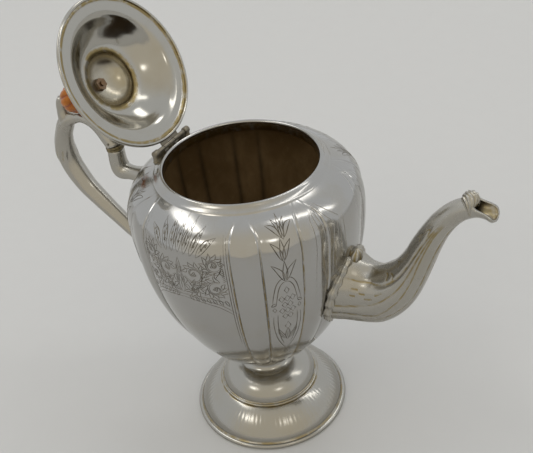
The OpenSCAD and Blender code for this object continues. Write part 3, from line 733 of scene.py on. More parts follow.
def engraved(name, azimuth, lines, width, highlight_slope=0):
    """Cuts along lines drawn about a panel's middle at azimuth; given 1 for its last argument, one slope
    of each cut is painted lighter, a painted highlight for the light that the cut's edge catches.
    """
    points, faces, slopes = [], [], []
    for line in lines:
        cut_rings = cut_points(np.asarray(line, float) + [azimuth, 0], width)
        rows = len(cut_rings) // 3
        faces += [tuple(len(points) + k for k in face) for face in tube_faces(rows, 3)]
        # Where asked, one slope of each cut takes the lighter silver: a painted highlight
        slopes += [0, highlight_slope, 0] * (rows - 1) + [0, 0]
        points.extend(cut_rings.tolist())
    piece = solid(name, points, faces, ENGRAVED_M, smooth=False)
    piece.data.materials.append(PAINTED_HIGHLIGHT_M)
    piece.data.polygons.foreach_set("material_index", slopes)
    return place_piece(piece, "pot", "silver_body")


def away(centre, length, angle):
    """The (azimuth, z) a length in mm from centre, at an angle in radians."""
    return xyz(centre[0] + length * np.cos(angle) / DEGREE_MM, centre[1] + length * np.sin(angle))


def leaf_lines(root, tip, swell, midrib=0, bend=0.0):
    """Outline of a pointed leaf from root to tip, and its midrib; swell and bend are in mm."""
    root, tip = np.asarray(root, float), np.asarray(tip, float)
    t = np.linspace(0, 1, 12)[:, None]
    run, rise = (tip[0] - root[0]) * DEGREE_MM, tip[1] - root[1]
    normal = np.array([-rise / DEGREE_MM, run]) / math.hypot(run, rise)
    middle = root + (tip - root) * t + normal * bend * np.sin(math.pi * t)
    bulge = swell * np.sin(math.pi * t**0.8)
    lines = [middle + normal * bulge, middle - normal * bulge]
    if midrib:
        lines.append(middle[2:9])
    return lines


def scroll_line(centre, radius, turns, start, hand):
    """A spiral scroll; radius in mm, start in degrees, hand 1 or -1."""
    t = np.linspace(0, 1, int(14 * turns) + 6)
    angle = math.radians(start) + hand * TAU * turns * t
    return away(centre, radius * (1 - 0.82 * t), angle)


def mirrored(lines):
    """The lines and their mirror images about the panel's middle line."""
    return list(lines) + [np.asarray(line, float) * [-1, 1] for line in lines]


def spray(base, height, tips):
    """A tuft of pointed leaves: one upright and pairs that lean out to tips (azimuth, rise)."""
    lines = leaf_lines((0, base), (0.2, base + height), 1.3)
    for azimuth, rise, swell in tips:
        lines += mirrored(leaf_lines((0.5, base + 0.8), (azimuth, base + rise), swell, 0, 1.2))
    return lines


def lozenge(x, z, half_width, half_height):
    """The two halves of an upright lozenge."""
    top, bottom = (x, z + half_height), (x, z - half_height)
    return [[top, (x + side, z), bottom] for side in (half_width, -half_width)]


def flute_pattern():
    """Three tufts of leaves over a bell, a lattice and a hanging flower on a middle flute."""
    lines = [line + [1.8, 0] for line in spray(173.4, 8.6, ((3.4, 7.4, 0.9), (7.0, 6.0, 1.0)))]
    lines += spray(162.2, 12.2, ((4.8, 10.9, 1.3),))
    lines += spray(149.0, 13.4, ((5.9, 12.2, 1.4),))
    bell = [(0.9, 151.6), (2.6, 150.9), (4.2, 148.2), (5.2, 144.8), (6.1, 139.9), (6.9, 134.5)]
    lining = [(0.5, 149.2), (1.6, 148.6), (2.9, 146.4), (3.8, 143.2), (4.5, 138.9), (5.2, 134.0)]
    lines += mirrored([smooth_line(bell, 4), smooth_line(lining, 4)])
    lines += lozenge(0, 143.2, 1.1, 2.4)
    lines += mirrored(leaf_lines((5.1, 134.0), (7.6, 131.6), 0.8))
    lines += mirrored(lozenge(6.1, 128.9, 0.9, 1.7))
    for row in range(4):
        for k in (-1, 0, 1) if row % 2 == 0 else (-0.5, 0.5):
            lines += lozenge(2.6 * k, 137.0 - 4.6 * row, 1.3, 2.3)
    flower = [(6.9, 123.2), (7.1, 116.0), (6.4, 108.0), (4.9, 100.5), (2.7, 94.4), (0.5, 89.5)]
    within = [(x * 0.7, z + 1.5) for x, z in flower[:5]]
    lines += mirrored([smooth_line(flower, 4), smooth_line(within, 4)])
    lines += mirrored(leaf_lines((0.4, 101), (5.0, 112.5), 1.2, 1, -0.8))
    lines += leaf_lines((0, 100), (0, 112), 1.4, 1)
    lines += mirrored([[(0, 117.6), (1.5, 114.0), (0, 110.6)]])
    lines += lozenge(0, 84.8, 1.2, 3.2)
    return lines


def border_line(azimuth, low, high):
    """A line up the edge of a panel, straight in azimuth."""
    return xyz(azimuth, np.linspace(low, high, 40))


def acanthus(centre, radius, start, hand, leaves):
    """A scroll with pointed leaves springing from its outside and a small flower in its eye."""
    lines = [scroll_line(centre, radius, 1.3, start, hand)]
    lines.append(scroll_line(centre, radius - 0.9, 1.2, start, hand))
    for k in range(leaves):
        a = math.radians(start + hand * 330 * k / leaves)
        root = away(centre, radius * (1 - 0.03 * k), a)
        lines += leaf_lines(root, away(root, 5.6 - 0.16 * k, a + hand * 1.15), 0.95, 0, 0.8 * hand)
    for k in range(3):
        lines += leaf_lines(centre, away(centre, 1.7, math.radians(120 * k + start)), 0.5)
    return lines


def side_pattern():
    """Foliage over the upper half of a side panel, within a border that runs on down its edges."""
    lines = mirrored([
        border_line(23.5, 94, 179), border_line(22.3, 99, 178),
        smooth_line([(0, 141.2), (7.8, 139.6), (17.0, 136.0), (23.4, 129.6)], 12),
        smooth_line([(0, 139.0), (7.8, 137.4), (16.6, 133.8), (22.8, 127.4)], 12),
    ])
    # A fan of long leaves under the mouth
    for k in range(7):
        lean = -18.6 + 6.2 * k
        top = 183.2 - 0.018 * lean**2
        lines += leaf_lines((lean * 0.5, 168.5 - 0.05 * abs(lean)), (lean, top), 1.7, 1, 0.07 * lean)
        for step in (0.3, 0.5, 0.7):
            x, z = lean * (0.5 + 0.5 * step), 168.5 + (top - 168.5) * step
            lines += [[(x, z), (x + vein, z + 1.5)] for vein in (0.6, -0.6)]
    for k in range(6):
        lean = -15.5 + 6.2 * k
        lines += leaf_lines((lean * 0.75, 172), (lean, 179.6 - 0.014 * lean**2), 0.8, 0, 0.04 * lean)
    half = acanthus((7.4, 157.0), 6.6, 200, 1, 11) + acanthus((17.0, 163.5), 5.0, -20, -1, 10)
    half += acanthus((16.6, 147.5), 5.6, 60, 1, 11) + acanthus((6.0, 146.2), 3.4, 120, -1, 7)
    half.append(smooth_line([(0.8, 142.5), (9.5, 149.0), (12.0, 158.0), (19.5, 158.5), (21.0, 170.0)], 12))
    half.append(smooth_line([(1.2, 141.8), (12.0, 141.0), (20.5, 137.5)], 10))
    for k in range(7):
        x, drop = 2.8 * k, k**2.2
        half += leaf_lines((3.0 + x, 141.0 - 0.032 * drop), (4.6 + x, 137.6 - 0.06 * drop), 0.7)
    # Hatching between the scrolls
    for k in range(12):
        half.append([(20.6 - 0.1 * k, 152.5 + 1.2 * k), (22.0 - 0.05 * k, 153.6 + 1.2 * k)])
        half.append([(0.4, 150.2 + 0.9 * k), (1.8, 151.0 + 0.9 * k)])
    lines += mirrored(half)
    lines += leaf_lines((0, 142.5), (0, 155), 1.7, 1) + leaf_lines((0, 156), (0, 166), 1.2, 1)
    return lines


def spout_pattern():
    """Drapery chased beside the root of the spout: a fan that falls into long reeds."""
    half = [smooth_line(line, 8) for line in (
        [(17.2, 180.7), (13.5, 177.3), (8.4, 171.7)],
        [(17.9, 180.4), (16.3, 176.1), (11.8, 169.7)],
        [(18.6, 180.1), (18.0, 175.9), (16.2, 169.8), (16.6, 162.1), (16.9, 148.8), (16.8, 134.1)],
        [(19.3, 180.1), (20.3, 176.1), (19.2, 170.5), (19.6, 163.9), (20.4, 149.0), (20.6, 128.0)],
        [(20.6, 179.8), (22.3, 176.7), (22.1, 172.0), (22.6, 165.6), (23.7, 150.8), (23.9, 120.0)],
        [(21.6, 179.2), (24.4, 176.5), (24.9, 171.0), (25.6, 160.6), (26.4, 148.8), (26.6, 130.0)],
        [(12.9, 169.8), (14.4, 160.4), (15.1, 148.3), (15.3, 137.5)],
        [(10.6, 170.4), (11.9, 160.4), (12.9, 150.0), (13.4, 142.5)],
        [(6.7, 171.4), (7.0, 163.8), (7.0, 157.4), (5.9, 148.6)],
        [(8.6, 171.0), (9.4, 163.8), (9.9, 155.4), (9.6, 146.6)],
    )]
    for k in range(9):
        z = 168.0 - 3.6 * k
        half.append([(17.6, z), (18.9, z - 1.9)])
    return mirrored(half)


def engravings():
    """The flutes beside the front and back panels, the two side panels and the spout's drapery."""
    middle = FRONT_PANEL / 2 + NARROW_FLUTE + MIDDLE_FLUTE / 2
    for k, azimuth in enumerate((-middle, middle, 180 - middle, middle - 180)):
        engraved(f"flute_engraving_{k + 1}", azimuth, flute_pattern(), 0.68)
    for k, azimuth in enumerate((-90, 90)):
        engraved(f"side_engraving_{k + 1}", azimuth, side_pattern(), 0.5)
    engraved("spout_drapery", 0, spout_pattern(), 0.7, 1)


# ------------------------------------------------------------------ bars: spout and handle


def bar(stations, sides, start_dir=None, end_dir=None, shape=None):
    """A closed bar in the XZ plane through stations (x, z, r): its points, faces and tarnish.

    Its end faces look along start_dir and end_dir. shape(u, angle, r) gives (added radius,
    tarnish), with u from 0 to 1 along the bar and angle in degrees from its underside.
    """
    run = smooth_line(stations, 8)
    last = len(run) - 1
    angle = np.arange(sides) * 360 / sides
    a = np.radians(angle)
    points, tarnish = np.zeros((last + 1, sides, 3)), np.zeros((last + 1, sides))
    for i, (x, z, r) in enumerate(run):
        reach = max(1, min(3, i, last - i))
        d = run[min(i + reach, last), :2] - run[max(i - reach, 0), :2]
        d = d / np.linalg.norm(d)
        if i == 0 and start_dir is not None:
            d = start_dir
        if i == last and end_dir is not None:
            d = end_dir
        if shape:
            added, tarnish[i] = shape(i / last, np.minimum(angle, 360 - angle), r)
            r = r + added
        points[i] = xyz(x + r * np.cos(a) * d[1], r * np.sin(a), z - r * np.cos(a) * d[0])
    return points, tube_faces(last + 1, sides), tarnish


# The spout's rings: (x, z) on top, (x, z) underneath and half the width, all in mm
SPOUT_RINGS = (
    (56, 140.8, 46, 91, 18.6), (65.5, 139.6, 56, 93.5, 18.2), (70, 138.2, 65, 95.7, 16.6),
    (73.8, 136.6, 72.5, 96.4, 14.8), (77.4, 135.6, 80, 97.8, 14), (81, 135.6, 87, 100.6, 13.8),
    (84.4, 136.6, 93.2, 105.2, 13.4), (88, 139, 98.6, 111, 12.8), (91.8, 142.4, 103.3, 117.8, 11.8),
    (95.4, 147.2, 107.2, 126, 10.6), (99, 153.4, 110.4, 135.6, 9.7), (102, 159.9, 113.4, 145.2, 9.2),
    (107.4, 170, 118.2, 159.8, 8.4), (113.7, 179.8, 123.6, 172.1, 7.3), (121.5, 188.2, 129.4, 180, 6.3),
    (130.7, 193.3, 135.6, 183.9, 5.6), (138.9, 194.4, 140.2, 184.3, 5.7),
    (143.8, 193.2, 143.6, 183.3, 6), (145.9, 190.4, 145.6, 184.2, 3.9),
)
SPOUT_SIDES = 120
SPOUT_STEPS = 8
# Grooves between its reeds: each one's angle from the underside at these rings
GROOVE_RINGS = (2, 5, 7, 10, 12.5, 14)
GROOVES = (
    (134, 138, 125, 113, 100, 88), (84, 94, 97, 95, 91, 84), (66, 66, 72, 76, 84, 78),
    (46, 54, 48, 36, 37, 40), (22, 24, 22, 14, 12, 12),
)
# Chased marks on the leaf above the reeds: V shapes (ring, angle), and dashes (from ring, to ring, angle)
CHEVRONS = ((7.6, 142), (8.3, 132), (9.2, 150), (12.1, 132), (12.7, 118))
DASHES = ((2.5, 3.4, 120), (3.6, 4.3, 114), (4.2, 5.2, 106), (2.6, 3.2, 108), (5.6, 6.6, 112))
# Outline of the knife that opens the lip, from a point inside its mouth
LIP_X = BELLY_R + 66.2
LIP_Z = SPOUT_ROOT_Z + 71.2
LIP_KNIFE = (
    (-0.6, 20), (-0.6, 4), (0, 2.6), (1.6, 1.5), (4, 0.9), (7, 0.1),
    (9, -1.2), (10.6, -3.4), (11.2, -6), (30, -9), (30, 20),
)


def spout_shape(ring, angle, r):
    """Radius added and tarnish: reeds below a dished leaf, parted by grooves that hold tarnish."""
    lines = [np.interp(ring, GROOVE_RINGS, groove_angles) for groove_angles in GROOVES]
    fade = np.interp(ring, (0, 1.5, 12.8, 14), (0.2, 1, 1, 0))
    add = 0.07 * r * np.clip((angle - lines[0]) / 7, 0, 1) ** 0.5
    add -= 0.11 * r * ripple(angle - 160, 15) * ripple(ring - 4.4, 1.3)
    for upper, lower in zip(lines, lines[1:]):
        share = np.clip((angle - lower) / (upper - lower), 0, 1)
        add += 0.075 * r * np.sin(math.pi * share) ** 0.7
    mark = np.zeros_like(angle)
    for line in lines:
        mark = np.maximum(mark, 0.62 * ripple(np.abs(angle - line) * DEGREE * r, 0.6))
    for at, middle in CHEVRONS:
        off = np.abs(angle - middle)
        chased = ripple(ring - at + 0.028 * off, 0.09) * (off < 11)
        add -= 0.35 * chased
        mark = np.maximum(mark, 0.85 * chased)
    for first, last, line in DASHES:
        chased = ripple(angle - line, 1.8) * (first < ring < last)
        add -= 0.25 * chased
        mark = np.maximum(mark, 0.8 * chased)
    return (add - 0.03 * r) * fade, mark * fade


def spout_rings():
    """Points and tarnish of the spout's solid form, lofted through its rings."""
    angle = np.arange(SPOUT_SIDES) * 360 / SPOUT_SIDES
    a = np.radians(angle)
    points, tarnish = [], []
    for k, (top_x, top_z, low_x, low_z, wide) in enumerate(smooth_line(SPOUT_RINGS, SPOUT_STEPS)):
        half_x, half_z = (top_x - low_x) / 2, (top_z - low_z) / 2
        half = math.hypot(half_x, half_z)
        add, mark = spout_shape(k / SPOUT_STEPS, np.minimum(angle, 360 - angle), min(half, wide))
        grown = 1 + add / half
        up = 1 - grown * np.cos(a)
        points.append(xyz(low_x + half_x * up, wide * grown * np.sin(a), low_z + half_z * up))
        tarnish.append(mark)
    return np.stack(points), np.stack(tarnish)


def spout_joint(points):
    """The loop where the spout's rings come out of the body, one point for each side."""
    depth = np.linalg.norm(points[..., :2], axis=-1) - body_radius(points[..., 2])
    side = np.arange(SPOUT_SIDES)
    out = np.maximum(np.argmax(depth > 0, axis=0), 1)
    share = (depth[out - 1, side] / (depth[out - 1, side] - depth[out, side]))[:, None]
    return points[out - 1, side] * (1 - share) + points[out, side] * share


def spout():
    """The reeded spout with its open lip and its bore, cut to the body and ornamented."""
    points, tarnish = spout_rings()
    faces = tube_faces(*tarnish.shape)
    piece = solid("spout_skin", points, faces, SILVER_CAST_M, tarnish)
    ends = [[(LIP_X + x, y, LIP_Z + z) for x, z in LIP_KNIFE] for y in (-12, 12)]
    cut(piece, solid("knife", ends, tube_faces(2, len(LIP_KNIFE)), SILVER_CAST_M, 0.0))
    centre = points.mean(axis=1, keepdims=True)
    reach = np.linalg.norm(points - centre, axis=-1, keepdims=True)
    hollow = centre + (points - centre) * (1 - SPOUT_WALL / reach)
    hollow[-1] += [2, 0, -0.7]
    cut(piece, solid("bore", hollow, faces, INSIDE_M, 0.5))
    cut(piece, body_core())
    piece.data.polygons.foreach_set("use_smooth", [True] * len(piece.data.polygons))
    place_piece(piece, "pot", "silver", "spout")
    spout_ornament(spout_joint(points))


def cord(name, path, radii, sides, tarnish, ribs):
    """A round cast cord through points, with a radius at each and ribs along it."""
    line = smooth_line([(*p, r) for p, r in zip(path, radii)], 8)
    ahead = np.gradient(line[:, :3], axis=0)
    ahead /= np.linalg.norm(ahead, axis=1)[:, None]
    across = np.cross(ahead, (0.35, 1.0, 0.2))
    across /= np.linalg.norm(across, axis=1)[:, None]
    third = np.cross(ahead, across)
    a = ring_angles(sides)[None, :, None]
    wave = 0.07 * np.cos(ribs * a)
    r = line[:, 3][:, None, None] * (1 + wave)
    points = line[:, None, :3] + r * (np.cos(a) * across[:, None] + np.sin(a) * third[:, None])
    marks = np.broadcast_to(tarnish - 3 * wave[..., 0], points.shape[:2])
    piece = solid(name, points, tube_faces(len(line), sides), SILVER_CAST_M, marks)
    place_piece(piece, "pot", "silver")


def spout_ornament(joint):
    """A leafy cord round the spout's joint with the body, a volute over it and the lip's shell."""
    loop = joint[::3]
    loop = np.concatenate([loop, loop[:1]])
    height = (loop[:, 2] - loop[:, 2].min()) / np.ptp(loop[:, 2])
    radii = 1.3 + 1.1 * np.sin(math.pi * height) ** 0.7 + 0.6 * height
    radii *= 1 + 0.17 * np.cos(math.pi * np.arange(len(loop)))
    cord("spout_root_cord", loop, radii, 28, 0.12, 7)
    volute(joint[len(joint) // 2])

    half_side = [(133.4, 5.3, 186.6), (132.9, 4.6, 189.2), (132.3, 3.0, 191.4), (131.9, 1.2, 192.4)]
    path = [(x, -y, z) for x, y, z in half_side] + [(131.8, 0, 192.5)] + half_side[::-1]
    cord("spout_lip_shell", path, (0.5, 1.5, 3.0, 4.1, 4.3, 4.1, 3.0, 1.5, 0.5), 72, 0.2, 10)


def volute(top):
    """A lobed bud on the upper end of the spout's joint; its furrows hold tarnish."""
    around, levels = 96, 30
    height = np.linspace(-math.pi / 2 + 0.05, math.pi / 2 - 0.05, levels)
    profile = xyz(4.4 * np.cos(height), 5.6 * np.sin(height))
    points = turned_points(profile, around, lambda r, z, angle: 0.07 * r * np.cos(8 * angle))
    hollow = np.linalg.norm(points[..., :2], axis=-1) / profile[:, 0:1]
    tarnish = 0.7 * (hollow.max() - hollow) / np.ptp(hollow)
    x, y, z = np.moveaxis(points, -1, 0)
    points = xyz(top[0] + 0.8 + x + 0.25 * z, 1.15 * y, top[2] - 1.2 + z)
    piece = solid("spout_root_volute", points, tube_faces(levels, around), SILVER_CAST_M, tarnish)
    place_piece(piece, "pot", "silver")


def handle_run(points):
    """Stations of a bar from points (x outwards, z upwards, r) about the back of the belly."""
    return [(-(BELLY_R + x), BELLY_Z + z, r) for x, z, r in points]


UPPER_DIR = np.array([-math.sin(math.radians(UPPER_LEAN)), math.cos(math.radians(UPPER_LEAN))])
LOWER_DIR = np.array([-math.cos(math.radians(LOWER_LEAN)), math.sin(math.radians(LOWER_LEAN))])
UPPER_SEAT = np.array([-(BELLY_R + 24.5), BELLY_Z + 17.2])
LOWER_SEAT = np.array([-(BELLY_R + 17.4), BELLY_Z - 49.3])
# Where the grip's leaf lies along it
LEAF_AT = 0.56


def grip_shape(u, angle, r):
    """Radius added and tarnish of the grip: a chased line along its edges, a veined leaf half-way."""
    ridge = 0.05 * r * np.cos(np.radians(4 * angle))
    line = np.abs(angle - 52) * DEGREE * r
    on = np.interp(u, (0, 0.3, 0.36, 0.95, 1), (0, 0, 1, 1, 0))
    leaf = ripple(u - LEAF_AT, 0.035) * np.clip(1 - np.abs(angle - 95) / 55, 0, 1) ** 0.5
    veins = np.cos(np.radians(11 * (angle - 95)) + 60 * (u - LEAF_AT))
    dirt = 0.4 * on * ripple(line, 0.7) + 0.5 * leaf * (veins < -0.3)
    return (ridge - 0.07 * r - 0.25 * ripple(line, 0.8)) * on + leaf * (0.25 + 0.45 * veins), dirt


def handle():
    """Grip with its thumb scroll, two sockets with insulators, and beads round the upper root."""
    grip = handle_run((
        (28.6, 24.2, 4.7), (33.6, 29.6, 4), (39.1, 33.1, 3.4), (46.4, 34.8, 3.1), (52.3, 33.6, 3.3),
        (58.4, 31.6, 5), (62.6, 27.2, 5.9), (66, 20.7, 6.2), (68.5, 11.3, 7.2), (67.6, 2, 7.4),
        (63.6, -7.6, 7.4), (57.3, -16.9, 6.9), (49.8, -24.1, 6.4), (41.7, -31.2, 5.9), (33.4, -38, 5.5),
        (25.5, -44.4, 5.2),
    ))
    upper, lower = UPPER_SEAT + INSULATOR * UPPER_DIR, LOWER_SEAT + INSULATOR * LOWER_DIR
    stations = [(*upper, SEAT_R), *grip, (*lower, SEAT_R)]
    form = bar(stations, 64, UPPER_DIR, -LOWER_DIR, grip_shape)
    cast_piece("handle_grip_skin", form, "handle_grip")

    thumb = ((60.3, 30, 5), (61.3, 34.5, 4.4), (61.8, 38.7, 3.6), (61.4, 43.2, 3.2), (60.2, 46.2, 2.4))
    cast_piece("handle_thumb_scroll", bar(handle_run(thumb), 40))

    upper_run = (
        (-6, 4, 8), (0, 3.7, 7.2), (7.8, 2.5, 5.2), (16, 2.3, 4.7), (22.7, 3.1, 6), (24.7, 8.7, 5.6),
    )
    lower_run = ((-16, -59.8, 8.4), (-9.5, -59.4, 7.6), (-2, -58.2, 6.5), (7.8, -55, 5.5))
    for which, run, seat, direction in (
        ("upper", upper_run, UPPER_SEAT, UPPER_DIR), ("lower", lower_run, LOWER_SEAT, LOWER_DIR),
    ):
        form = bar(handle_run(run) + [(*seat, SEAT_R)], 64, end_dir=direction)
        cut(cast_piece(f"handle_{which}_socket_skin", form, f"handle_{which}_socket"), body_core())
        insulator(which, seat, direction)

    beads = []
    for a in np.radians(range(-112, 113, 16)):
        y, z = BEAD_RING_Y * math.sin(a), BEAD_RING_Z + BEAD_RING_RISE * math.cos(a)
        azimuth = 180 - math.degrees(math.asin(y / body_radius(z)))
        beads.append((*small_ball(body_at(azimuth, z, 0.5), BEAD_R), 0.2))
    place_piece(joined("handle_collar_beads", beads, SILVER_CAST_M), "pot", "silver")


def cast_piece(name, form, *nodes):
    """A cast silver piece on the pot from its (points, faces, tarnish)."""
    points, faces, tarnish = form
    return place_piece(solid(name, points, faces, SILVER_CAST_M, tarnish), "pot", "silver", *nodes)


def small_ball(centre, radius, levels=8, around=12):
    """Points and faces of a small ball."""
    tilt = np.linspace(0.2, math.pi - 0.2, levels)[:, None]
    ball = around_z(np.sin(tilt), ring_angles(around)[None, :], np.cos(tilt))
    return centre + radius * ball.reshape(-1, 3), tube_faces(levels, around)


def insulator(which, seat, direction):
    """Bone ring of two reeds between the handle and its socket."""
    reed = INSULATOR / 4
    profile = np.concatenate([
        [[0.01, -0.02], [5.0, -0.02]],
        arc(5.0, reed, reed, -80, 80, 10), arc(5.0, 3 * reed, reed, -80, 80, 10),
        [[5.0, INSULATOR + 0.02], [0.01, INSULATOR + 0.02]],
    ])
    seam = np.abs(np.linspace(-1, 1, 10)) ** 3
    stain = np.concatenate([[1, 1], seam, seam, [1, 1]])
    tilt = math.atan2(direction[0], direction[1])
    c, s = math.cos(tilt), math.sin(tilt)

    def seated(points):
        x, y, z = np.moveaxis(points, -1, 0)
        return xyz(seat[0] + x * c + z * s, y, seat[1] - x * s + z * c)

    ring = turned(f"{which}_insulator_ring", profile, BONE_M, 96, None, stain, seated)
    place_piece(ring, "pot", "insulator_bone", f"{which}_insulator")


# ------------------------------------------------------------------ hinge


def barrel(y, length, radius, bevel):
    """A barrel about the hinge's axis with rounded ends, as (points, faces, tarnish)."""
    half = length / 2
    corner = arc(half - bevel, radius - bevel, bevel, 0, 90, 6)
    profile = np.concatenate([[[half, 0.02]], corner, corner[::-1] * [-1, 1], [[-half, 0.02]]])
    a = ring_angles(40)[None, :]
    along, r = profile[:, 0:1], profile[:, 1:2]
    points = xyz(HINGE_X + r * np.cos(a), y + along, HINGE_Z + r * np.sin(a))
    return points.reshape(-1, 3), tube_faces(len(profile), 40), 0.2


def cheek(y, length, half_width, low, high=HINGE_Z):
    """A hollow-sided foot under a barrel, from low up to high, as (points, faces, tarnish)."""
    slope = ((0.5, low), (0, low + 1.2), (-0.3, low + 3), (-0.3, HINGE_Z))
    side = smooth_line([(half_width + x, z) for x, z in slope], 5)
    outline = np.concatenate([side, side[::-1] * [-1, 1]])
    x, z = outline[:, 0], np.minimum(outline[:, 1], high)
    ends = [xyz(HINGE_X + x * narrow, y + length * k, z)
            for k, narrow in ((-0.5, 0.9), (-0.42, 1), (0.42, 1), (0.5, 0.9))]
    return np.concatenate(ends), tube_faces(4, len(x)), 0.35


def hinge_bracket():
    """Fixed knuckles and turned end lugs on a low saddle behind the mouth."""
    parts = []
    for y in KNUCKLES_Y:
        parts += [barrel(y, 4.85, 1.4, 0.3), cheek(y, 4.6, 1.4, 182.6)]
    for y in LUGS_Y:
        parts += [barrel(y, 4.4, 2.1, 0.9), cheek(y, 3.9, 1.6, 182.4)]
    parts.append(cheek(0, 32.5, 1.5, 180.2, 185.7))
    place_piece(joined("hinge_bracket_skin", parts, SILVER_DULL_M), "pot", "silver_dull", "hinge_bracket")


# ------------------------------------------------------------------ lid


def opened(points):
    """Swings points from the lid's closed place, heights above its wire, to where it stands open."""
    x, z = points[..., 0] - HINGE_X, points[..., 2] + LID_Z - HINGE_Z
    c, s = math.cos(LID_OPEN), math.sin(LID_OPEN)
    return xyz(HINGE_X + x * c - z * s, points[..., 1], HINGE_Z + x * s + z * c)


def lid():
    """Two-step lid, drawn shut and swung open: edge wire, shell, step bead, dome and fruit."""
    around = 320
    stain = 0.6 * (WIRE_OUT < -0.6)
    wire = ring_of_wire("lid_edge_wire", LID_WIRE_R, LID_WIRE, 0, SILVER_LID_M, stain, around, opened)
    place_piece(wire, "lid", "silver", "lid_wire")

    curve = smooth_line((
        (40.6, 0.6), (38.5, 0.8), (36.6, 1.05), (34.9, 1.7), (33.2, 3.0), (31.2, 5.4), (28.8, 8.2),
        (26.2, 10.6), (23.8, 12.5), (21.6, 13.9), (19.9, 14.6), (18.4, 15.0),
    ), 7)
    inside = np.concatenate([[[43.3, 0.0], [42.4, 0.0], [41.8, 0.15], [41.3, 0.5]], curve, [[15.9, 15.0]]])
    slope_stain = np.interp(curve[:, 0], [18.4, 19.6, 22], [0.6, 0.2, 0])
    stain = np.concatenate([[0.4, 0.7, 0.75, 0.4], slope_stain, [0.9]])
    profile = np.concatenate([inside, inside[::-1] + [0.6, 0.8]])
    shell = turned("lid_shell_skin", profile, SILVER_LID_M, around, None, stain, opened)
    place_piece(shell, "lid", "silver", "lid_shell")

    step = ring_of_wire("lid_step_bead", LID_BEAD_R, LID_BEAD, LID_BEAD_Z, SILVER_LID_M, place=opened)
    place_piece(step, "lid", "silver", "lid_step_wire")

    a = np.linspace(0, math.radians(75.1), 40)
    inner = xyz(LID_DOME_R * np.cos(a), LID_DOME_Z + LID_DOME_RISE * np.sin(a) / math.sin(a[-1]))
    outer = inner[::-1] + [0.8, 0.8]
    outer[-1, 1] = LID_DOME_Z
    profile = np.concatenate([inner, [[STUD_HOLE_R, 26.0], [STUD_HOLE_R, 26.8]], outer])
    stain = np.interp(a, [0, 0.06, 0.3, 1.3], [0.9, 0.5, 0.3, 0.22])
    dome = turned("lid_dome_skin", profile, SILVER_DOME_M, 256, None, stain, opened)
    place_piece(dome, "lid", "silver", "lid_dome")
    fruit()


def fruit():
    """The finial's lobed fruit."""
    around, levels = 16 * FRUIT_LOBES, 64
    tilt = np.radians(np.linspace(3, 177, levels))[:, None]
    turn = ring_angles(around)[None, :]
    furrow = 1 - np.abs(np.cos(FRUIT_LOBES / 2 * turn)) ** 0.8
    r = (FRUIT_R - 0.8 * furrow * np.sin(tilt)) * np.sin(tilt)
    points = opened(around_z(r, turn, FRUIT_Z - FRUIT_R * np.cos(tilt)))
    tarnish = np.clip(furrow * np.sin(tilt) * 1.1 - 0.3, 0, 1)
    piece = solid("finial_fruit_skin", points, tube_faces(levels, around), AMBER_M, tarnish)
    place_piece(piece, "lid", "finial_amber", "finial_fruit")


# ------------------------------------------------------------------ stage, lamps, camera

WARM_WHITE = (1.0, 0.985, 0.95)
# Name, azimuth, elevation, size, radiance, share of the size that each edge fades over, roll, colour
LAMPS = (
    ("key_left", -166, 58, (2.0, 0.52), 4.4, 0.4, 14, WARM_WHITE),
    ("front_right", -36, 38, (0.6, 0.4), 3.2, 0.4, 0, WARM_WHITE),
    ("front_left", -106, 41, (0.9, 0.45), 4.2, 0.4, 0, WARM_WHITE),
    ("far_right", 38, 55, (0.22, 2.3), 3.0, 0.14, 0, WARM_WHITE),
    ("back_right", 98, 54, (0.95, 0.6), 4.8, 0.4, -20, (1.0, 0.99, 0.96)),
)


def floor():
    """A plain floor far wider than any view of the pot."""
    half = 3000.0
    corners = [(-half, -half, 0), (half, -half, 0), (half, half, 0), (-half, half, 0)]
    sheet = mesh_piece("floor", corners, [(0, 1, 2, 3)], FLOOR_M, smooth=False)


def stand(thing, right, up, back, place):
    """Puts a lamp or the camera at place, in metres, to look away from back."""
    thing.matrix_world = Matrix([*zip(right, up, back, place), (0, 0, 0, 1)])
    scene.collection.objects.link(thing)


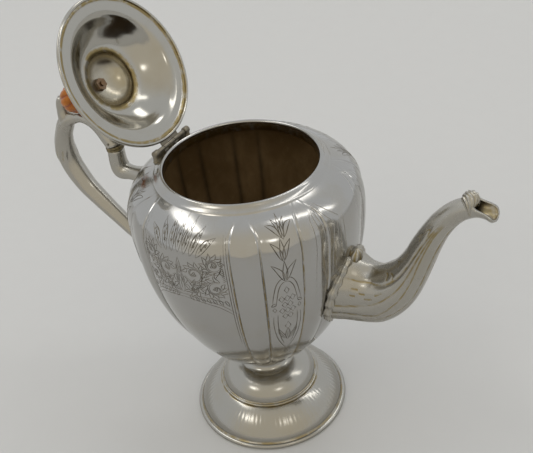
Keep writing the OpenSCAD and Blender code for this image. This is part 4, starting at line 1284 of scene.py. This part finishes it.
def lamp(name, azimuth, elevation, size, radiance, soft, roll, colour):
    """A soft box that looks at the middle of the pot and fades out over its edges.

    Angles in degrees, lengths in metres; radiance at its middle, where the world's is about 0.7.
    """
    data = bpy.data.lights.new(name, "AREA")
    data.shape = "RECTANGLE"
    data.size, data.size_y = size
    data.energy = radiance * math.pi * size[0] * size[1]
    data.color = colour
    g = Graph(data)
    across = g.node("SeparateXYZ", None, Vector=g.node("NewGeometry").outputs["Parametric"])
    fades = [g.between(g.value("PINGPONG", across.outputs[k], 0.5), 0, soft) for k in (0, 1)]
    g.feed_named(g.tree.nodes["Emission"], {"Strength": g.value("MULTIPLY", *fades)})
    a, e = math.radians(azimuth), math.radians(elevation)
    out = np.array([math.cos(e) * math.cos(a), math.cos(e) * math.sin(a), math.sin(e)])
    right = np.array([-math.sin(a), math.cos(a), 0])
    up = np.cross(out, right)
    c, s = math.cos(math.radians(roll)), math.sin(math.radians(roll))
    place = out * LAMP_DISTANCE + [0, 0, LAMP_AIM_Z]
    stand(bpy.data.objects.new(name, data), right * c + up * s, up * c - right * s, out, place)


def world():
    """Even studio walls: cool above and behind, a little warmer in front."""
    sky = bpy.data.worlds.new("studio")
    scene.world = sky
    g = Graph(sky)
    facing = g.node("VectorMath", {"operation": "DOT_PRODUCT"})
    g.feed(facing.inputs[0], g.node("TexCoord").outputs["Generated"])
    g.feed(facing.inputs[1], (0.47, -0.81, 0.34))
    share = g.between(facing.outputs["Value"], 0.2, 0.9)
    wall = g.mix(share, (0.70, 0.715, 0.725, 1), (0.72, 0.675, 0.575, 1))
    g.feed_named(g.tree.nodes["Background"], {"Color": wall, "Strength": 1.0})


def camera():
    """The photograph's point of view: a 57 mm lens on a 36 mm wide frame of 533 x 453 pixels."""
    data = bpy.data.cameras.new("camera")
    data.sensor_fit = "HORIZONTAL"
    data.sensor_width = 36
    data.lens = 56.652
    eye = bpy.data.objects.new("camera", data)
    right, up, back = (0.8595, 0.5015, -0.0988), (-0.2240, 0.5433, 0.8091), (0.4595, -0.6733, 0.5792)
    stand(eye, right, up, back, (235.46 * MM, -327.67 * MM, 425.22 * MM))
    scene.camera = eye


def dress_cad():
    """Finer materials for the CAD nodes that stay in view."""
    for node, material in (
        ("hinge_pin", SILVER_DULL_M), ("hinge_leaf", SILVER_DULL_M), ("insulator_pins", SILVER_DULL_M),
        ("finial_nut", NUT_M), ("finial_stud", NUT_M), ("finial_washer", SILVER_DULL_M),
        ("finial_cup", SILVER_CAST_M),
    ):
        for slot in frame["nodes"][node].material_slots:
            slot.material = material


camera()
world()
for values in LAMPS:
    lamp(*values)
floor()
vessel()
mouth_rim()
foot()
spout()
handle()
hinge_bracket()
lid()
dress_cad()
engravings()

scene.view_settings.view_transform = "Standard"
